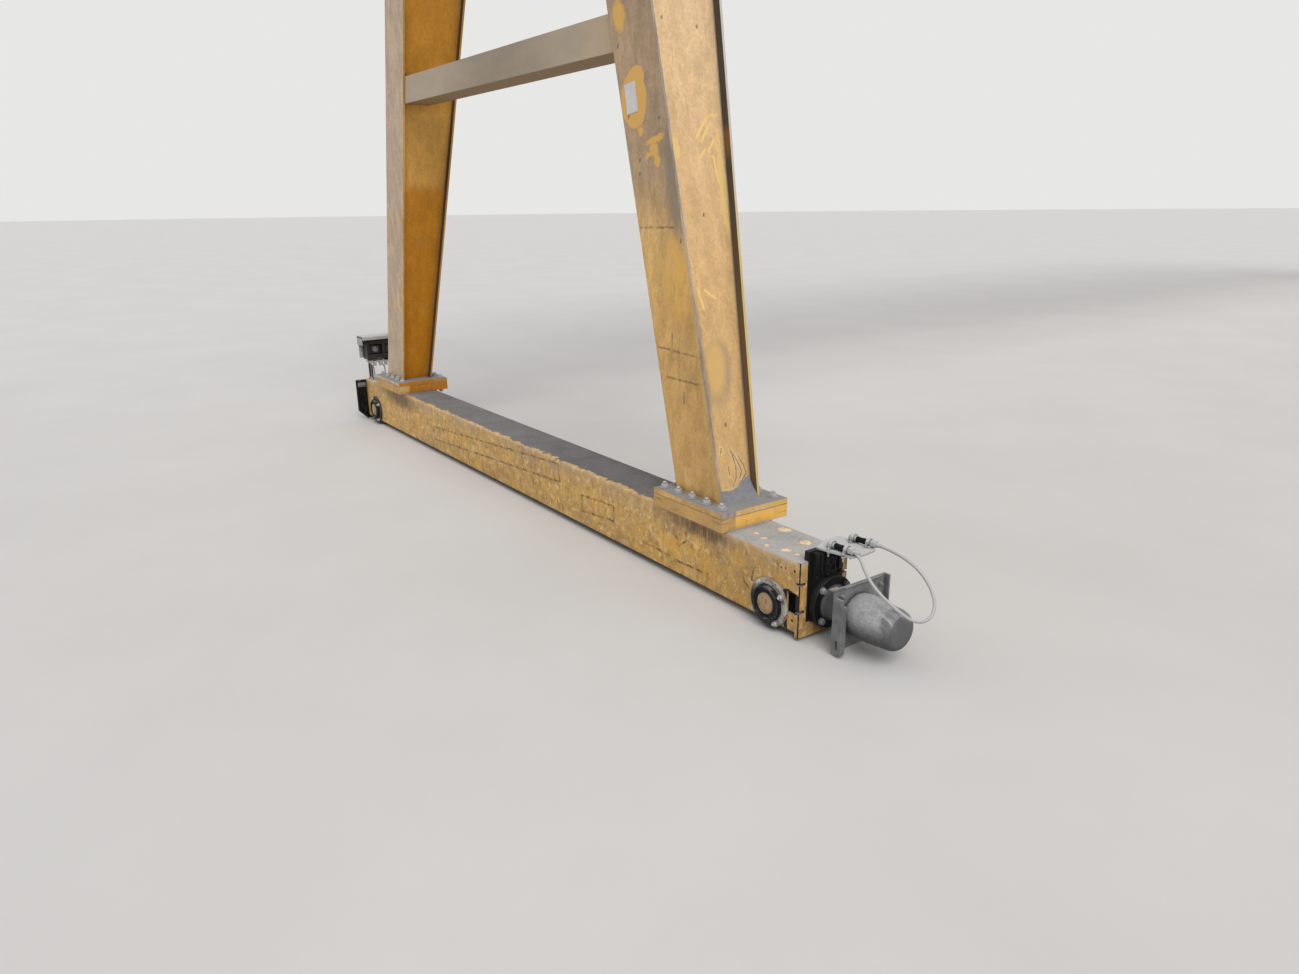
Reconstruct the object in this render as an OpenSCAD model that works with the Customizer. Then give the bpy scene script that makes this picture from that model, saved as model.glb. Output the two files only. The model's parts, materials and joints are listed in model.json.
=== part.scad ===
// Gantry crane on two A-shaped leg frames that roll on floor-level wheels.
// X runs along the travel direction, Y across the span, Z up from the floor.
// Frame a stands at the negative Y side, frame b is its mirror image.
// Inside a frame, x is measured from midway between its legs, y from the outer
// face of the sole beam towards the span, and z from the beam's lower edge.

/* [Crane] */
// Distance between the centre lines of the two sole beams
gauge = 20000; // [8000:100:24000]
// Gap between the floor and the sole beam
ground_gap = 30; // [20:5:60]

/* [Sole beam] */
// Width of the sole beam across its length
beam_w = 255; // [200:5:320]
// Height of the sole beam
beam_h = 300; // [240:5:360]
// Wall thickness of the sole beam
beam_wall = 10; // [6:1:16]
// Outer corner radius of the sole beam
beam_corner = 12; // [8:1:20]
// Length of the sole beam from the leg centre to its drive end
beam_drive_len = 2452; // [2300:1:2700]
// Length of the sole beam from the leg centre to its plain end
beam_plain_len = 2360; // [2300:1:2600]

/* [Wheels] */
// Radius of the running wheels
wheel_r = 115; // [105:1:130]
// Width of the wheel tread
wheel_w = 90; // [60:1:110]
// Distance from the beam's drive end back to the driven wheel
drive_wheel_back = 142; // [135:1:240]
// Distance from the beam's plain end back to the plain wheel
plain_wheel_back = 195; // [160:1:260]
// Radius of the axle and its visible end
axle_r = 45; // [30:1:50]
// Outer radius of the bearing's flange
bearing_r = 102; // [90:1:106]
// Thickness of the bearing's flange
bearing_flange_t = 12; // [8:1:18]
// Radius of the bearing's boss
bearing_boss_r = 73; // [65:1:80]
// Height of the bearing's boss over the beam's side
bearing_t = 32; // [24:1:45]
// Running clearance round the axle
axle_clear = 0.5; // [0.3:0.1:0.8]

/* [Legs] */
// Distance from the leg centre line at the foot to the middle of the frame
leg_foot_x = 1802; // [1500:1:1850]
// Distance from the leg centre line at the top to the middle of the frame
leg_top_x = 642; // [560:1:900]
// Length of a leg between its flanges, measured upright
leg_h = 4800; // [3500:10:6000]
// Width of a leg along the travel direction
leg_w = 308; // [240:1:360]
// Distance from the beam's outer face back to the leg's outer plate
leg_set_back = 40; // [20:1:60]
// Depth of a leg across the crane at its foot
leg_foot_d = 218; // [160:1:260]
// Depth of a leg across the crane at its top
leg_top_d = 590; // [400:1:700]
// Thickness of the legs' outer and inner plates
leg_plate_t = 12; // [8:1:20]
// Distance from a plate's edge in to the web
web_inset = 42; // [20:1:60]

/* [Flanges] */
// Length of the foot flanges along the beam
foot_l = 476; // [420:1:520]
// Depth of the foot flanges across the beam
foot_d = 369; // [330:1:400]
// How far the foot flanges stand out past the beam's outer face
foot_out = 27; // [10:1:40]
// Thickness of the flange on the beam
foot_lower_t = 58; // [30:1:70]
// Thickness of the flange on the leg
foot_upper_t = 24; // [20:1:40]
// Thickness of the flange on top of a leg
top_flange_t = 30; // [20:1:40]
// How far the top flange stands out round the leg
top_flange_out = 45; // [30:1:60]

/* [Tie beam] */
// Height of the tie beam's lower face above the sole beam's lower edge
tie_z = 2221; // [1500:1:3000]
// Height of the tie beam
tie_h = 153; // [100:1:250]
// Depth of the tie beam across the crane
tie_d = 180; // [100:1:200]

/* [Girders] */
// Width of a girder box at its webs
girder_w = 320; // [260:5:400]
// Height of a girder
girder_h = 1000; // [700:10:1200]
// Thickness of the girder's top and bottom flange
girder_flange_t = 16; // [10:1:25]
// How far the girder's flanges stand out past its webs
girder_flange_out = 30; // [20:1:40]
// Width of the trolley rail
rail_w = 50; // [40:5:70]
// Height of the trolley rail
rail_h = 40; // [30:5:60]
// Width of the end tie between the girders
end_tie_w = 260; // [200:10:320]
// Height of the end tie between the girders
end_tie_h = 560; // [400:10:680]

/* [Drive end] */
// Length of the end frame past the sole beam
end_frame_l = 21; // [15:1:40]
// Width of the end frame's upright bars
end_bar_w = 38; // [25:1:50]
// Height of the end frame's lower bar above the sole beam's lower edge
end_bar_top = 48; // [40:1:60]
// How far the end frame's lower bar hangs below the sole beam
end_bar_drop = 15; // [5:1:16]
// Height of the gear housing's top above the sole beam's lower edge
gear_top = 338; // [320:1:345]
// How far the gear housing stands out past the end frame
gear_out = 12; // [6:1:20]
// Distance from the beam's outer face to the motor's axis
motor_y = 151; // [130:1:160]
// Height of the motor's axis above the sole beam's lower edge
motor_z = 114; // [110:1:125]
// Radius of the gear flange
gear_flange_r = 108; // [100:1:112]
// Thickness of the gear flange
gear_flange_t = 22; // [15:1:30]
// Radius of the neck between the gear and the bracket
neck_r = 62; // [50:1:70]
// Distance from the end frame to the motor bracket's plate
neck_l = 147; // [120:1:160]
// Radius of the motor's body
motor_r = 88; // [80:1:92]
// Radius of the motor's cowl at its end
motor_cowl_r = 66; // [55:1:72]
// Length of the motor from the bracket to its end
motor_l = 215; // [190:1:230]
// Length of a cable gland with its nose
gland_l = 120; // [100:1:130]
// Radius of a cable gland's nuts
gland_r = 13; // [12:1:18]
// Radius of the drive cable
cable_r = 6; // [5:0.5:8]

/* [Plain end] */
// Thickness of the rubber end flap
flap_t = 30; // [20:1:40]
// How far the rubber flap stands out past both faces of the beam
flap_out = 76; // [50:1:100]
// Distance between the ribs of the rubber flap
flap_rib = 24; // [20:1:40]
// Height of the sensor box
box_h = 153; // [120:1:200]
// Height of the posts under the sensor box
box_post_h = 160; // [120:5:180]

/* [Trolley] */
// Length of the trolley along the girders
trolley_l = 1700; // [1500:10:2000]
// Radius of the trolley wheels
trolley_wheel_r = 110; // [90:5:140]
// Radius of the rope drum
drum_r = 170; // [140:5:200]
// Length of the rope drum
drum_l = 640; // [560:10:680]
// Diameter of the hoist rope
rope_dia = 14; // [10:1:18]
// Height of the hook block's sheave axis above the floor
hook_z = 3980; // [3600:10:4400]
// Radius of the hook's bowl
hook_r = 62; // [50:1:75]

/* [Hidden] */
$fn = 64;
half_gauge = gauge / 2;
axle_z = wheel_r - ground_gap;
drive_wheel_x = beam_drive_len - drive_wheel_back;
plain_wheel_x = beam_plain_len - plain_wheel_back;
foot_top = beam_h + foot_lower_t + foot_upper_t;
leg_top = foot_top + leg_h;
lean = (leg_foot_x - leg_top_x) / leg_h;
girder_z = ground_gap + leg_top + top_flange_t;
girder_top = girder_z + girder_h;
rail_top = girder_top + rail_h;
outer_y = half_gauge + beam_w / 2;
end_frame_x = beam_drive_len + end_frame_l;
gear_face_x = end_frame_x + gear_out;
bracket_x = end_frame_x + neck_l;
bracket_t = 8;
bracket_y0 = motor_y - 127;
bracket_y1 = motor_y + 153;
bracket_low = 14 - ground_gap;
bracket_high = 240;
bracket_lip = 45;
bracket_ear = 30;
motor_x = bracket_x + bracket_t;
motor_end = motor_x + motor_l;
plate_t = 8;
plate_top = gear_top + plate_t;
gland_z = plate_top + gland_r;
gland_x = end_frame_x + 18;
gland_y = [125, 243];
gland_turn = [4, 7];
end_plate_t = 10;
weld_gap = 0.3;
flap_x = beam_plain_len + end_plate_t;
flap_end = flap_x + flap_t;
// The frame's middle is set off so that the whole crane is centred on X = 0.
mid_x = (flap_end - motor_end) / 2;
spigot_r = 60;
spigot_t = beam_wall + 18;
leg_core_in = leg_w / 2 - web_inset;
end_y = outer_y - leg_set_back + top_flange_out;
girder_clear = leg_top_x - girder_w / 2;
trolley_z = rail_top + trolley_wheel_r;
cross_top = trolley_z + 200;
cross_back = 330;
trolley_wheel_back = 150;
trolley_axle_r = 25;
rail_end_back = 400;
drum_rim = 30;
drum_shaft_r = 60;
drum_z = cross_top + drum_r + drum_rim + 60;
stand_gap = 40;
stand_t = 30;
hoist_motor_r = 110;
hoist_motor_y = trolley_l / 2 - cross_back;
rope_y = drum_r + rope_dia / 2 + 0.3;
sheave_x = 60;
sheave_rim = drum_r + rope_dia + 6;
pin_r = 30;
hook_bar_r = 26;
hook_shank = 70;
hook_tip_r = 10;
hook_tip_h = 62;
hook_centre_z = hook_z - sheave_rim - 90 - hook_shank - hook_r - hook_bar_r;
beam_yellow = [0.78, 0.58, 0.24];
deep_yellow = [0.80, 0.50, 0.10];
dust_grey = [0.50, 0.50, 0.50];
black = [0.07, 0.07, 0.075];
zinc = [0.72, 0.73, 0.74];

// Places a frame's pieces at the negative Y side, or mirrored at the other.
module in_frame(side) {
    mirror([0, side > 0 ? 1 : 0, 0])
        translate([mid_x, -outer_y, ground_gap])
            children();
}

// Extrudes an outline given in x and z from y0 to y1.
module along_y(y0, y1) {
    translate([0, y1, 0])
        rotate([90, 0, 0])
            linear_extrude(y1 - y0)
                children();
}

// Extrudes an outline given in y and z from x0 to x1.
module along_x(x0, x1) {
    translate([x0, 0, 0])
        rotate([90, 0, 90])
            linear_extrude(x1 - x0)
                children();
}

// A cylinder whose axis runs along Y.
module cyl_y(r, y0, y1) {
    translate([0, y1, 0])
        rotate([90, 0, 0])
            cylinder(r = r, h = y1 - y0);
}

// A cylinder whose axis runs along X.
module cyl_x(r, x0, x1) {
    translate([x0, 0, 0])
        rotate([0, 90, 0])
            cylinder(r = r, h = x1 - x0);
}

// A body of revolution about the X axis, from pairs of radius and distance.
module revolve_x(profile) {
    rotate([0, 90, 0])
        rotate_extrude()
            polygon(profile);
}

module rounded_box_outline(w, h, r) {
    translate([r, 0])
        square([w - 2 * r, h]);
    translate([0, r])
        square([w, h - 2 * r]);
    for (y = [r, w - r], z = [r, h - r])
        translate([y, z])
            circle(r = r);
}

// Sole beam: a rounded box beam with open pockets over the wheels.
module sole_beam() {
    inner_r = beam_corner - beam_wall > 2 ? beam_corner - beam_wall : 2;
    pocket = 2 * wheel_r + 50;
    color(beam_yellow)
        difference() {
            union() {
                difference() {
                    along_x(-beam_plain_len, beam_drive_len)
                        rounded_box_outline(beam_w, beam_h, beam_corner);
                    along_x(-beam_plain_len - 1, beam_drive_len + 1)
                        translate([beam_wall, beam_wall])
                            rounded_box_outline(beam_w - 2 * beam_wall,
                                beam_h - 2 * beam_wall, inner_r);
                }
                along_x(-flap_x, -beam_plain_len)
                    rounded_box_outline(beam_w, beam_h, beam_corner);
            }
            for (x = [drive_wheel_x, -plain_wheel_x])
                translate([x, 0, axle_z]) {
                    cyl_y(spigot_r + 0.5, -1, beam_w + 1);
                    translate([-pocket / 2, beam_wall + 2, -axle_z - 1])
                        cube([pocket, beam_w - 2 * beam_wall - 4, beam_wall + 2]);
                }
            sole_beam_drive_cuts();
        }
}

// Notch beside the bearing, tab hole and three small holes at the drive end.
module sole_beam_drive_cuts() {
    notch_x = drive_wheel_x + bearing_r - 8;
    for (y = [-1, beam_w - beam_wall - 1])
        translate([notch_x, y, 78])
            cube([beam_drive_len - notch_x + 1, beam_wall + 2, 86]);
    translate([beam_drive_len - 16, 0, 50])
        cyl_y(6, -1, beam_wall + 1);
    for (hole = [[84, 252, 4], [61, 256, 4], [12, 258, 6]])
        translate([beam_drive_len - hole[0], 0, hole[1]])
            cyl_y(hole[2], -1, beam_wall + 1);
}

// Foot flanges welded on the sole beam under both legs.
module foot_flanges() {
    color(deep_yellow)
        for (s = [-1, 1])
            translate([s * leg_foot_x - foot_l / 2, -foot_out, beam_h])
                cube([foot_l, foot_d, foot_lower_t]);
}

// Slanted outline of a leg in x and z, drawn in from its edges by inset.
module leg_outline(inset) {
    half = leg_w / 2 - inset;
    polygon([
        [leg_foot_x - half, foot_top], [leg_foot_x + half, foot_top],
        [leg_top_x + half, leg_top], [leg_top_x - half, leg_top]
    ]);
}

// Outline in y and z of a layer that follows the leg's flared inner face.
module leg_layer(foot_depth, top_depth, from_inner) {
    foot_y = leg_set_back + leg_foot_d - from_inner;
    top_y = leg_set_back + leg_top_d - from_inner;
    polygon([
        [foot_y - foot_depth, foot_top], [foot_y, foot_top],
        [top_y, leg_top], [top_y - top_depth, leg_top]
    ]);
}

// Leg: two wide plates, upright outside and flared inside, over inset webs.
module leg() {
    span_x = leg_foot_x + leg_w;
    inside_y = leg_set_back + leg_top_d + 1;
    top_l = leg_w + 2 * top_flange_out;
    top_d = leg_top_d + 2 * top_flange_out;
    lap = leg_plate_t / 2;
    along_y(leg_set_back, leg_set_back + leg_plate_t)
        leg_outline(0);
    intersection() {
        along_y(leg_set_back, inside_y)
            leg_outline(0);
        along_x(0, span_x)
            leg_layer(leg_plate_t, leg_plate_t, 0);
    }
    intersection() {
        along_y(leg_set_back, inside_y)
            leg_outline(web_inset);
        along_x(0, span_x)
            leg_layer(leg_foot_d - 2 * lap, leg_top_d - 2 * lap, lap);
    }
    translate([leg_foot_x - foot_l / 2, -foot_out, foot_top - foot_upper_t])
        cube([foot_l, foot_d, foot_upper_t]);
    translate([leg_top_x - top_l / 2, leg_set_back - top_flange_out, leg_top])
        cube([top_l, top_d, top_flange_t]);
}

module drive_leg() {
    color(beam_yellow)
        leg();
}

module plain_leg() {
    color(deep_yellow)
        mirror([1, 0, 0])
            leg();
}

// Half the clear distance between the legs' webs at height z.
function web_gap(z) = leg_foot_x - lean * (z - foot_top) - leg_core_in;

// Tie beam, held between the webs behind the legs' outer plates.
module tie_beam() {
    y0 = leg_set_back + leg_plate_t + weld_gap;
    low = web_gap(tie_z) - weld_gap;
    high = web_gap(tie_z + tie_h) - weld_gap;
    color(beam_yellow)
        along_y(y0, y0 + tie_d)
            polygon([
                [-low, tie_z], [low, tie_z],
                [high, tie_z + tie_h], [-high, tie_z + tie_h]
            ]);
}

// Wheel with its axle, whose ends show in the bearing housings.
module wheel(x) {
    hub_r = axle_r + 22;
    rim = wheel_w / 2;
    hub = rim + 16;
    end = beam_w / 2 + bearing_t - 3;
    color(dust_grey)
        translate([x, beam_w / 2, axle_z])
            rotate([90, 0, 0])
                rotate_extrude($fn = 96)
                    polygon([
                        [0, -end], [axle_r - 4, -end], [axle_r, -end + 4],
                        [axle_r, -hub], [hub_r, -hub], [hub_r + 4, -rim + 14],
                        [wheel_r - 26, -rim + 14], [wheel_r - 20, -rim],
                        [wheel_r - 3, -rim], [wheel_r, -rim + 3],
                        [wheel_r, rim - 3], [wheel_r - 3, rim],
                        [wheel_r - 20, rim], [wheel_r - 26, rim - 14],
                        [hub_r + 4, rim - 14], [hub_r, hub], [axle_r, hub],
                        [axle_r, end - 4], [axle_r - 4, end], [0, end]
                    ]);
}

// One bearing housing, its foot at y = 0 and its spigot inside the wall.
module bearing() {
    bore = axle_r + axle_clear;
    recess_r = bearing_boss_r - 12;
    recess_y = -bearing_t + 9;
    rotate([-90, 0, 0])
        rotate_extrude($fn = 72)
            polygon([
                [bore, recess_y], [recess_r, recess_y], [recess_r + 2, -bearing_t],
                [bearing_boss_r - 3, -bearing_t], [bearing_boss_r, -bearing_t + 3],
                [bearing_boss_r, -bearing_flange_t], [bearing_r - 2, -bearing_flange_t],
                [bearing_r, -bearing_flange_t + 2], [bearing_r, 0],
                [spigot_r, 0], [spigot_r, spigot_t], [bore, spigot_t]
            ]);
}

module bearings() {
    color(dust_grey)
        for (x = [drive_wheel_x, -plain_wheel_x])
            translate([x, 0, axle_z]) {
                bearing();
                translate([0, beam_w, 0])
                    mirror([0, 1, 0])
                        bearing();
            }
}

// End frame: two slotted upright bars joined by a lower bar.
module end_frame() {
    slot_h = 10;
    slot_d = end_bar_w - 12;
    color(beam_yellow)
        difference() {
            along_x(beam_drive_len, end_frame_x)
                difference() {
                    translate([0, -end_bar_drop])
                        square([beam_w, beam_h + end_bar_drop]);
                    translate([end_bar_w, end_bar_top])
                        square([beam_w - 2 * end_bar_w, beam_h]);
                }
            for (z = [91, 206], y = [-1, beam_w - slot_d])
                translate([beam_drive_len - 1, y, z])
                    cube([end_frame_l + 2, slot_d + 1, slot_h]);
        }
}

// Gear unit: housing in the end frame, round flange and neck to the bracket.
module gear_unit() {
    face = gear_face_x;
    cover_side = 18;
    color(black)
        union() {
            translate([beam_drive_len, end_bar_w, end_bar_top])
                cube([end_frame_l, beam_w - 2 * end_bar_w, gear_top - end_bar_top]);
            translate([end_frame_x - 1, end_bar_w + cover_side, end_bar_top])
                cube([gear_out + 1, beam_w - 2 * end_bar_w - cover_side,
                    gear_top - end_bar_top - 6]);
            translate([0, motor_y, motor_z])
                revolve_x([
                    [0, face - 2], [gear_flange_r, face - 2],
                    [gear_flange_r, face + gear_flange_t - 4],
                    [gear_flange_r - 4, face + gear_flange_t],
                    [neck_r + 14, face + gear_flange_t],
                    [neck_r, face + gear_flange_t + 14],
                    [neck_r, bracket_x - 12], [neck_r + 20, bracket_x - 12],
                    [neck_r + 20, bracket_x], [0, bracket_x]
                ]);
        }
}

// Bent bracket between the gear's neck and the motor: plate, channel and ear.
module motor_bracket() {
    y0 = bracket_y0;
    channel_h = bracket_high - bracket_low - 30;
    slot_r = 6;
    slot_z = [bracket_low + 22, bracket_low + 50];
    slot_x = bracket_x + bracket_lip - 20;
    color(zinc)
        difference() {
            union() {
                translate([bracket_x, y0, bracket_low])
                    cube([bracket_t, bracket_y1 - y0, bracket_high - bracket_low]);
                translate([bracket_x, y0, bracket_low])
                    cube([bracket_lip, bracket_t, channel_h]);
                translate([bracket_x + bracket_lip - bracket_t, y0, bracket_low])
                    cube([bracket_t, 26, channel_h - 30]);
                translate([bracket_x, bracket_y1 - bracket_t, motor_z])
                    cube([bracket_ear, bracket_t, bracket_high - motor_z]);
            }
            for (z = slot_z)
                translate([slot_x, 0, z])
                    cyl_y(slot_r, y0 - 1, y0 + bracket_t + 1);
            translate([slot_x - slot_r, y0 - 1, slot_z[0]])
                cube([2 * slot_r, bracket_t + 2, slot_z[1] - slot_z[0]]);
        }
}

// Motor: flange, bulging shell, tapered cowl and rimmed end cap.
module motor() {
    rim_r = motor_cowl_r + 3;
    taper_x = motor_x + 0.6 * motor_l;
    color(dust_grey)
        translate([0, motor_y, motor_z])
            revolve_x([
                [0, motor_x], [motor_r + 4, motor_x], [motor_r + 4, motor_x + 12],
                [motor_r - 2, motor_x + 16], [motor_r, motor_x + 45],
                [motor_r - 1, motor_x + 90], [motor_r - 4, taper_x],
                [motor_r - 11, taper_x + 34], [motor_cowl_r, motor_end - 28],
                [motor_cowl_r, motor_end - 18], [rim_r, motor_end - 15],
                [rim_r, motor_end - 3], [rim_r - 3, motor_end],
                [rim_r - 12, motor_end], [rim_r - 17, motor_end - 6],
                [0, motor_end - 6]
            ]);
}

// Zinc plate on the gear housing with two cable glands lying on it.
module gland_plate() {
    x = end_frame_x;
    color(zinc)
        union() {
            translate([0, 0, gear_top])
                linear_extrude(plate_t)
                    polygon([
                        [x - 39, 252], [x + 146, 242], [x + 153, 174], [x + 143, 118],
                        [x - 7, 84], [x - 43, 165]
                    ]);
            for (i = [0, 1])
                translate([gland_x, gland_y[i], gland_z])
                    rotate([0, 0, gland_turn[i]])
                        gland();
        }
}

// Cable gland: body, two nuts and a tapered nose, axis along X.
module gland() {
    body_r = gland_r - 4;
    nut_l = 22;
    nut1_x = 10;
    nut2_x = gland_l - 36;
    revolve_x([
        [0, 0], [body_r, 0], [body_r, nut1_x - 2], [gland_r, nut1_x],
        [gland_r, nut1_x + nut_l], [body_r, nut1_x + nut_l + 2],
        [body_r, nut2_x - 2], [gland_r, nut2_x], [gland_r, nut2_x + nut_l],
        [body_r, nut2_x + nut_l + 4], [cable_r + 1, gland_l], [0, gland_l]
    ]);
}

// Direction in which a gland's cable leaves it, and the point where it does.
function gland_way(i) = [cos(gland_turn[i]), sin(gland_turn[i]), 0];
function gland_exit(i) = [gland_x, gland_y[i], gland_z] + gland_l * gland_way(i);

// Free loop of drive cable, from one gland out past the motor and back.
cable_sides = 8;
cable_route = concat([gland_exit(1)], [
    [2642, 261, 357], [2675, 262, 355], [2708, 262, 351], [2742, 261, 345],
    [2774, 260, 336], [2802, 260, 324], [2826, 259, 310], [2847, 257, 295],
    [2867, 253, 278], [2886, 246, 261], [2904, 234, 245], [2919, 218, 230],
    [2930, 198, 216], [2935, 176, 205], [2933, 155, 198], [2924, 136, 195],
    [2907, 122, 197], [2882, 114, 204], [2848, 111, 215], [2811, 111, 228],
    [2776, 112, 242], [2747, 113, 257], [2722, 114, 273], [2699, 116, 292],
    [2678, 119, 313], [2659, 124, 334], [2637, 129, 350]
], [gland_exit(0)]);

// Point number i of the route, smoothed between its chosen points.
function route_point(route, i, f) =
    let (n = len(route) - 1,
        a = route[max(i - 1, 0)], b = route[i],
        c = route[min(i + 1, n)], d = route[min(i + 2, n)])
    0.5 * (2 * b + (c - a) * f + (2 * a - 5 * b + 4 * c - d) * f * f
        + (3 * b - a - 3 * c + d) * f * f * f);

function unit(v) = v / norm(v);

// Tube of the given radius along a route, leaving and ending along two ways.
module swept_tube(route, r, sides, steps, first, last) {
    path = [for (i = [0:len(route) - 2], k = [0:steps - 1])
        route_point(route, i, k / steps)];
    pts = concat(path, [route[len(route) - 1]]);
    n = len(pts);
    along = [for (i = [0:n - 1])
        i == 0 ? first : i == n - 1 ? last : unit(pts[i + 1] - pts[i - 1])];
    // The turning frame keeps one side of the tube facing the route's start.
    side = [for (i = 0, s = [0, 1, 0]; i < n;
        i = i + 1, s = i < n ? unit(s - (s * along[i]) * along[i]) : s) s];
    rings = [for (i = [0:n - 1], k = [0:sides - 1])
        let (s = unit(side[i] - (side[i] * along[i]) * along[i]),
            u = cross(along[i], s), a = 360 * k / sides)
        pts[i] + r * (cos(a) * s + sin(a) * u)];
    quads = [for (i = [0:n - 2], k = [0:sides - 1])
        [i * sides + k, i * sides + (k + 1) % sides,
            (i + 1) * sides + (k + 1) % sides, (i + 1) * sides + k]];
    polyhedron(rings, concat([[for (k = [sides - 1:-1:0]) k]], quads,
        [[for (k = [0:sides - 1]) (n - 1) * sides + k]]));
}

module drive_cable() {
    color(zinc)
        swept_tube(cable_route, cable_r, cable_sides, 3, gland_way(1), -gland_way(0));
}

// Rubber end flap with upright ribs and cut lower corners.
module end_flap() {
    low = 10 - ground_gap;
    high = beam_h - 12;
    cut = 62;
    y0 = -flap_out;
    y1 = beam_w + flap_out;
    count = floor((y1 - y0) / flap_rib);
    pitch = (y1 - y0) / count;
    color(black)
        difference() {
            along_x(-flap_end, -flap_x)
                polygon([
                    [y0, low + cut], [y0 + cut, low], [y1 - cut, low],
                    [y1, low + cut], [y1, high], [y0, high]
                ]);
            for (i = [1:count - 1])
                translate([-flap_x - 5, y0 + i * pitch - 3, low - 1])
                    cube([6, 6, high - low + 2]);
        }
}

// Sensor box on four posts, with two recessed cells and a lid folded down.
module sensor_box() {
    x0 = -beam_plain_len + 6;
    x1 = x0 + 96;
    y0 = -6;
    y1 = beam_w + 6;
    z0 = beam_h + box_post_h;
    z1 = z0 + box_h;
    lid_t = 25;
    lid_side = 34;
    lip_h = 43;
    post = 12;
    frame_w = 20;
    cell = (y1 - y0 - 3 * frame_w) / 2;
    color(black)
        union() {
            difference() {
                translate([x0, y0, z0])
                    cube([x1 - x0, y1 - y0, box_h]);
                for (i = [0, 1])
                    translate([x1 - 45, y0 + frame_w + i * (cell + frame_w), z0 + 35])
                        cube([46, cell, box_h - 70]);
            }
            for (x = [x0 + 16, x1 - 16 - post],
                y = [beam_corner + 8, beam_w - beam_corner - 8 - post])
                translate([x, y, beam_h])
                    cube([post, post, box_post_h]);
            translate([x0 - 8, y0 - lid_side, z1])
                cube([x1 - x0 + 22, y1 - y0 + 2 * lid_side, lid_t]);
            for (y = [y0 - lid_side, y1 + lid_side - 5])
                translate([x0 - 8, y, z1 - lip_h + lid_t])
                    cube([x1 - x0 + 22, 5, lip_h]);
        }
}

// Girder: box with flanges, end plates, diaphragm ribs and trolley rail.
module girder() {
    flange_w = girder_w + 2 * girder_flange_out;
    web_h = girder_h - 2 * girder_flange_t;
    rail_y = end_y - rail_end_back;
    bays = 8;
    rib_t = 12;
    union() {
        for (z = [0, girder_h - girder_flange_t])
            translate([leg_top_x - flange_w / 2, -end_y, girder_z + z])
                cube([flange_w, 2 * end_y, girder_flange_t]);
        translate([leg_top_x - girder_w / 2, -end_y + 12, girder_z + girder_flange_t / 2])
            cube([girder_w, 2 * end_y - 24, web_h + girder_flange_t]);
        for (i = [0:bays])
            translate([leg_top_x + girder_w / 2 - 1,
                -end_y + 150 + i * (2 * end_y - 300 - rib_t) / bays,
                girder_z + girder_flange_t / 2])
                cube([girder_flange_out - 7, rib_t, web_h + girder_flange_t]);
        translate([leg_top_x - rail_w / 2, -rail_y, girder_top - 1])
            cube([rail_w, 2 * rail_y, rail_h + 1]);
        for (s = [-1, 1])
            translate([leg_top_x - 90, s * (rail_y + 45) - 45, girder_top - 1])
                cube([180, 90, 181]);
    }
}

module drive_side_girder() {
    color(beam_yellow)
        translate([mid_x, 0, 0])
            girder();
}

module plain_side_girder() {
    color(beam_yellow)
        translate([mid_x, 0, 0])
            mirror([1, 0, 0])
                girder();
}

// End tie between the girders, with end plates against their webs.
module end_tie(side) {
    y = side * (half_gauge + beam_w / 2 - leg_set_back - leg_top_d / 2);
    z = girder_z + (girder_h - end_tie_h) / 2;
    color(beam_yellow)
        translate([mid_x, y, z])
            union() {
                translate([-girder_clear, -end_tie_w / 2, 0])
                    cube([2 * girder_clear, end_tie_w, end_tie_h]);
                for (s = [-1, 1])
                    translate([s * (girder_clear - 10) - 10, -end_tie_w / 2 - 50, -50])
                        cube([20, end_tie_w + 100, end_tie_h + 100]);
            }
}

// Trolley frame: two wheel carriers joined by cross beams.
module trolley_frame() {
    carrier_z = trolley_z - 60;
    carrier_h = cross_top - carrier_z;
    cross_w = 160;
    side_t = 20;
    gap = rail_w + 30;
    color(beam_yellow)
        translate([mid_x, 0, 0])
            difference() {
                union() {
                    for (s = [-1, 1]) {
                        for (t = [-1, 1])
                            translate([s * leg_top_x + t * (gap + side_t) / 2 - side_t / 2,
                                -trolley_l / 2, carrier_z])
                                cube([side_t, trolley_l, carrier_h]);
                        translate([s * leg_top_x - gap / 2 - side_t, -trolley_l / 2,
                            carrier_z + carrier_h - 1])
                            cube([gap + 2 * side_t, trolley_l, 17]);
                    }
                    for (t = [-1, 1])
                        translate([-leg_top_x + gap / 2 + 1,
                            t * (trolley_l / 2 - cross_back) - cross_w / 2, carrier_z + 20])
                            cube([2 * leg_top_x - gap - 2, cross_w, carrier_h - 20]);
                }
                for (s = [-1, 1], t = [-1, 1])
                    translate([s * leg_top_x, t * (trolley_l / 2 - trolley_wheel_back), trolley_z])
                        cyl_x(trolley_axle_r + 0.4, -gap, gap);
            }
}

module trolley_wheels() {
    half = rail_w / 2 + 10;
    flange_r = trolley_wheel_r + 16;
    hub = 40;
    color(dust_grey)
        for (s = [-1, 1], t = [-1, 1])
            translate([mid_x + s * leg_top_x, t * (trolley_l / 2 - trolley_wheel_back), trolley_z])
                revolve_x([
                    [0, -half - hub], [trolley_axle_r, -half - hub],
                    [trolley_axle_r, -half],
                    [flange_r, -half], [flange_r, -half + 6],
                    [trolley_wheel_r, -half + 9], [trolley_wheel_r, half - 9],
                    [flange_r, half - 6], [flange_r, half], [trolley_axle_r, half],
                    [trolley_axle_r, half + hub], [0, half + hub]
                ]);
}

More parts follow.
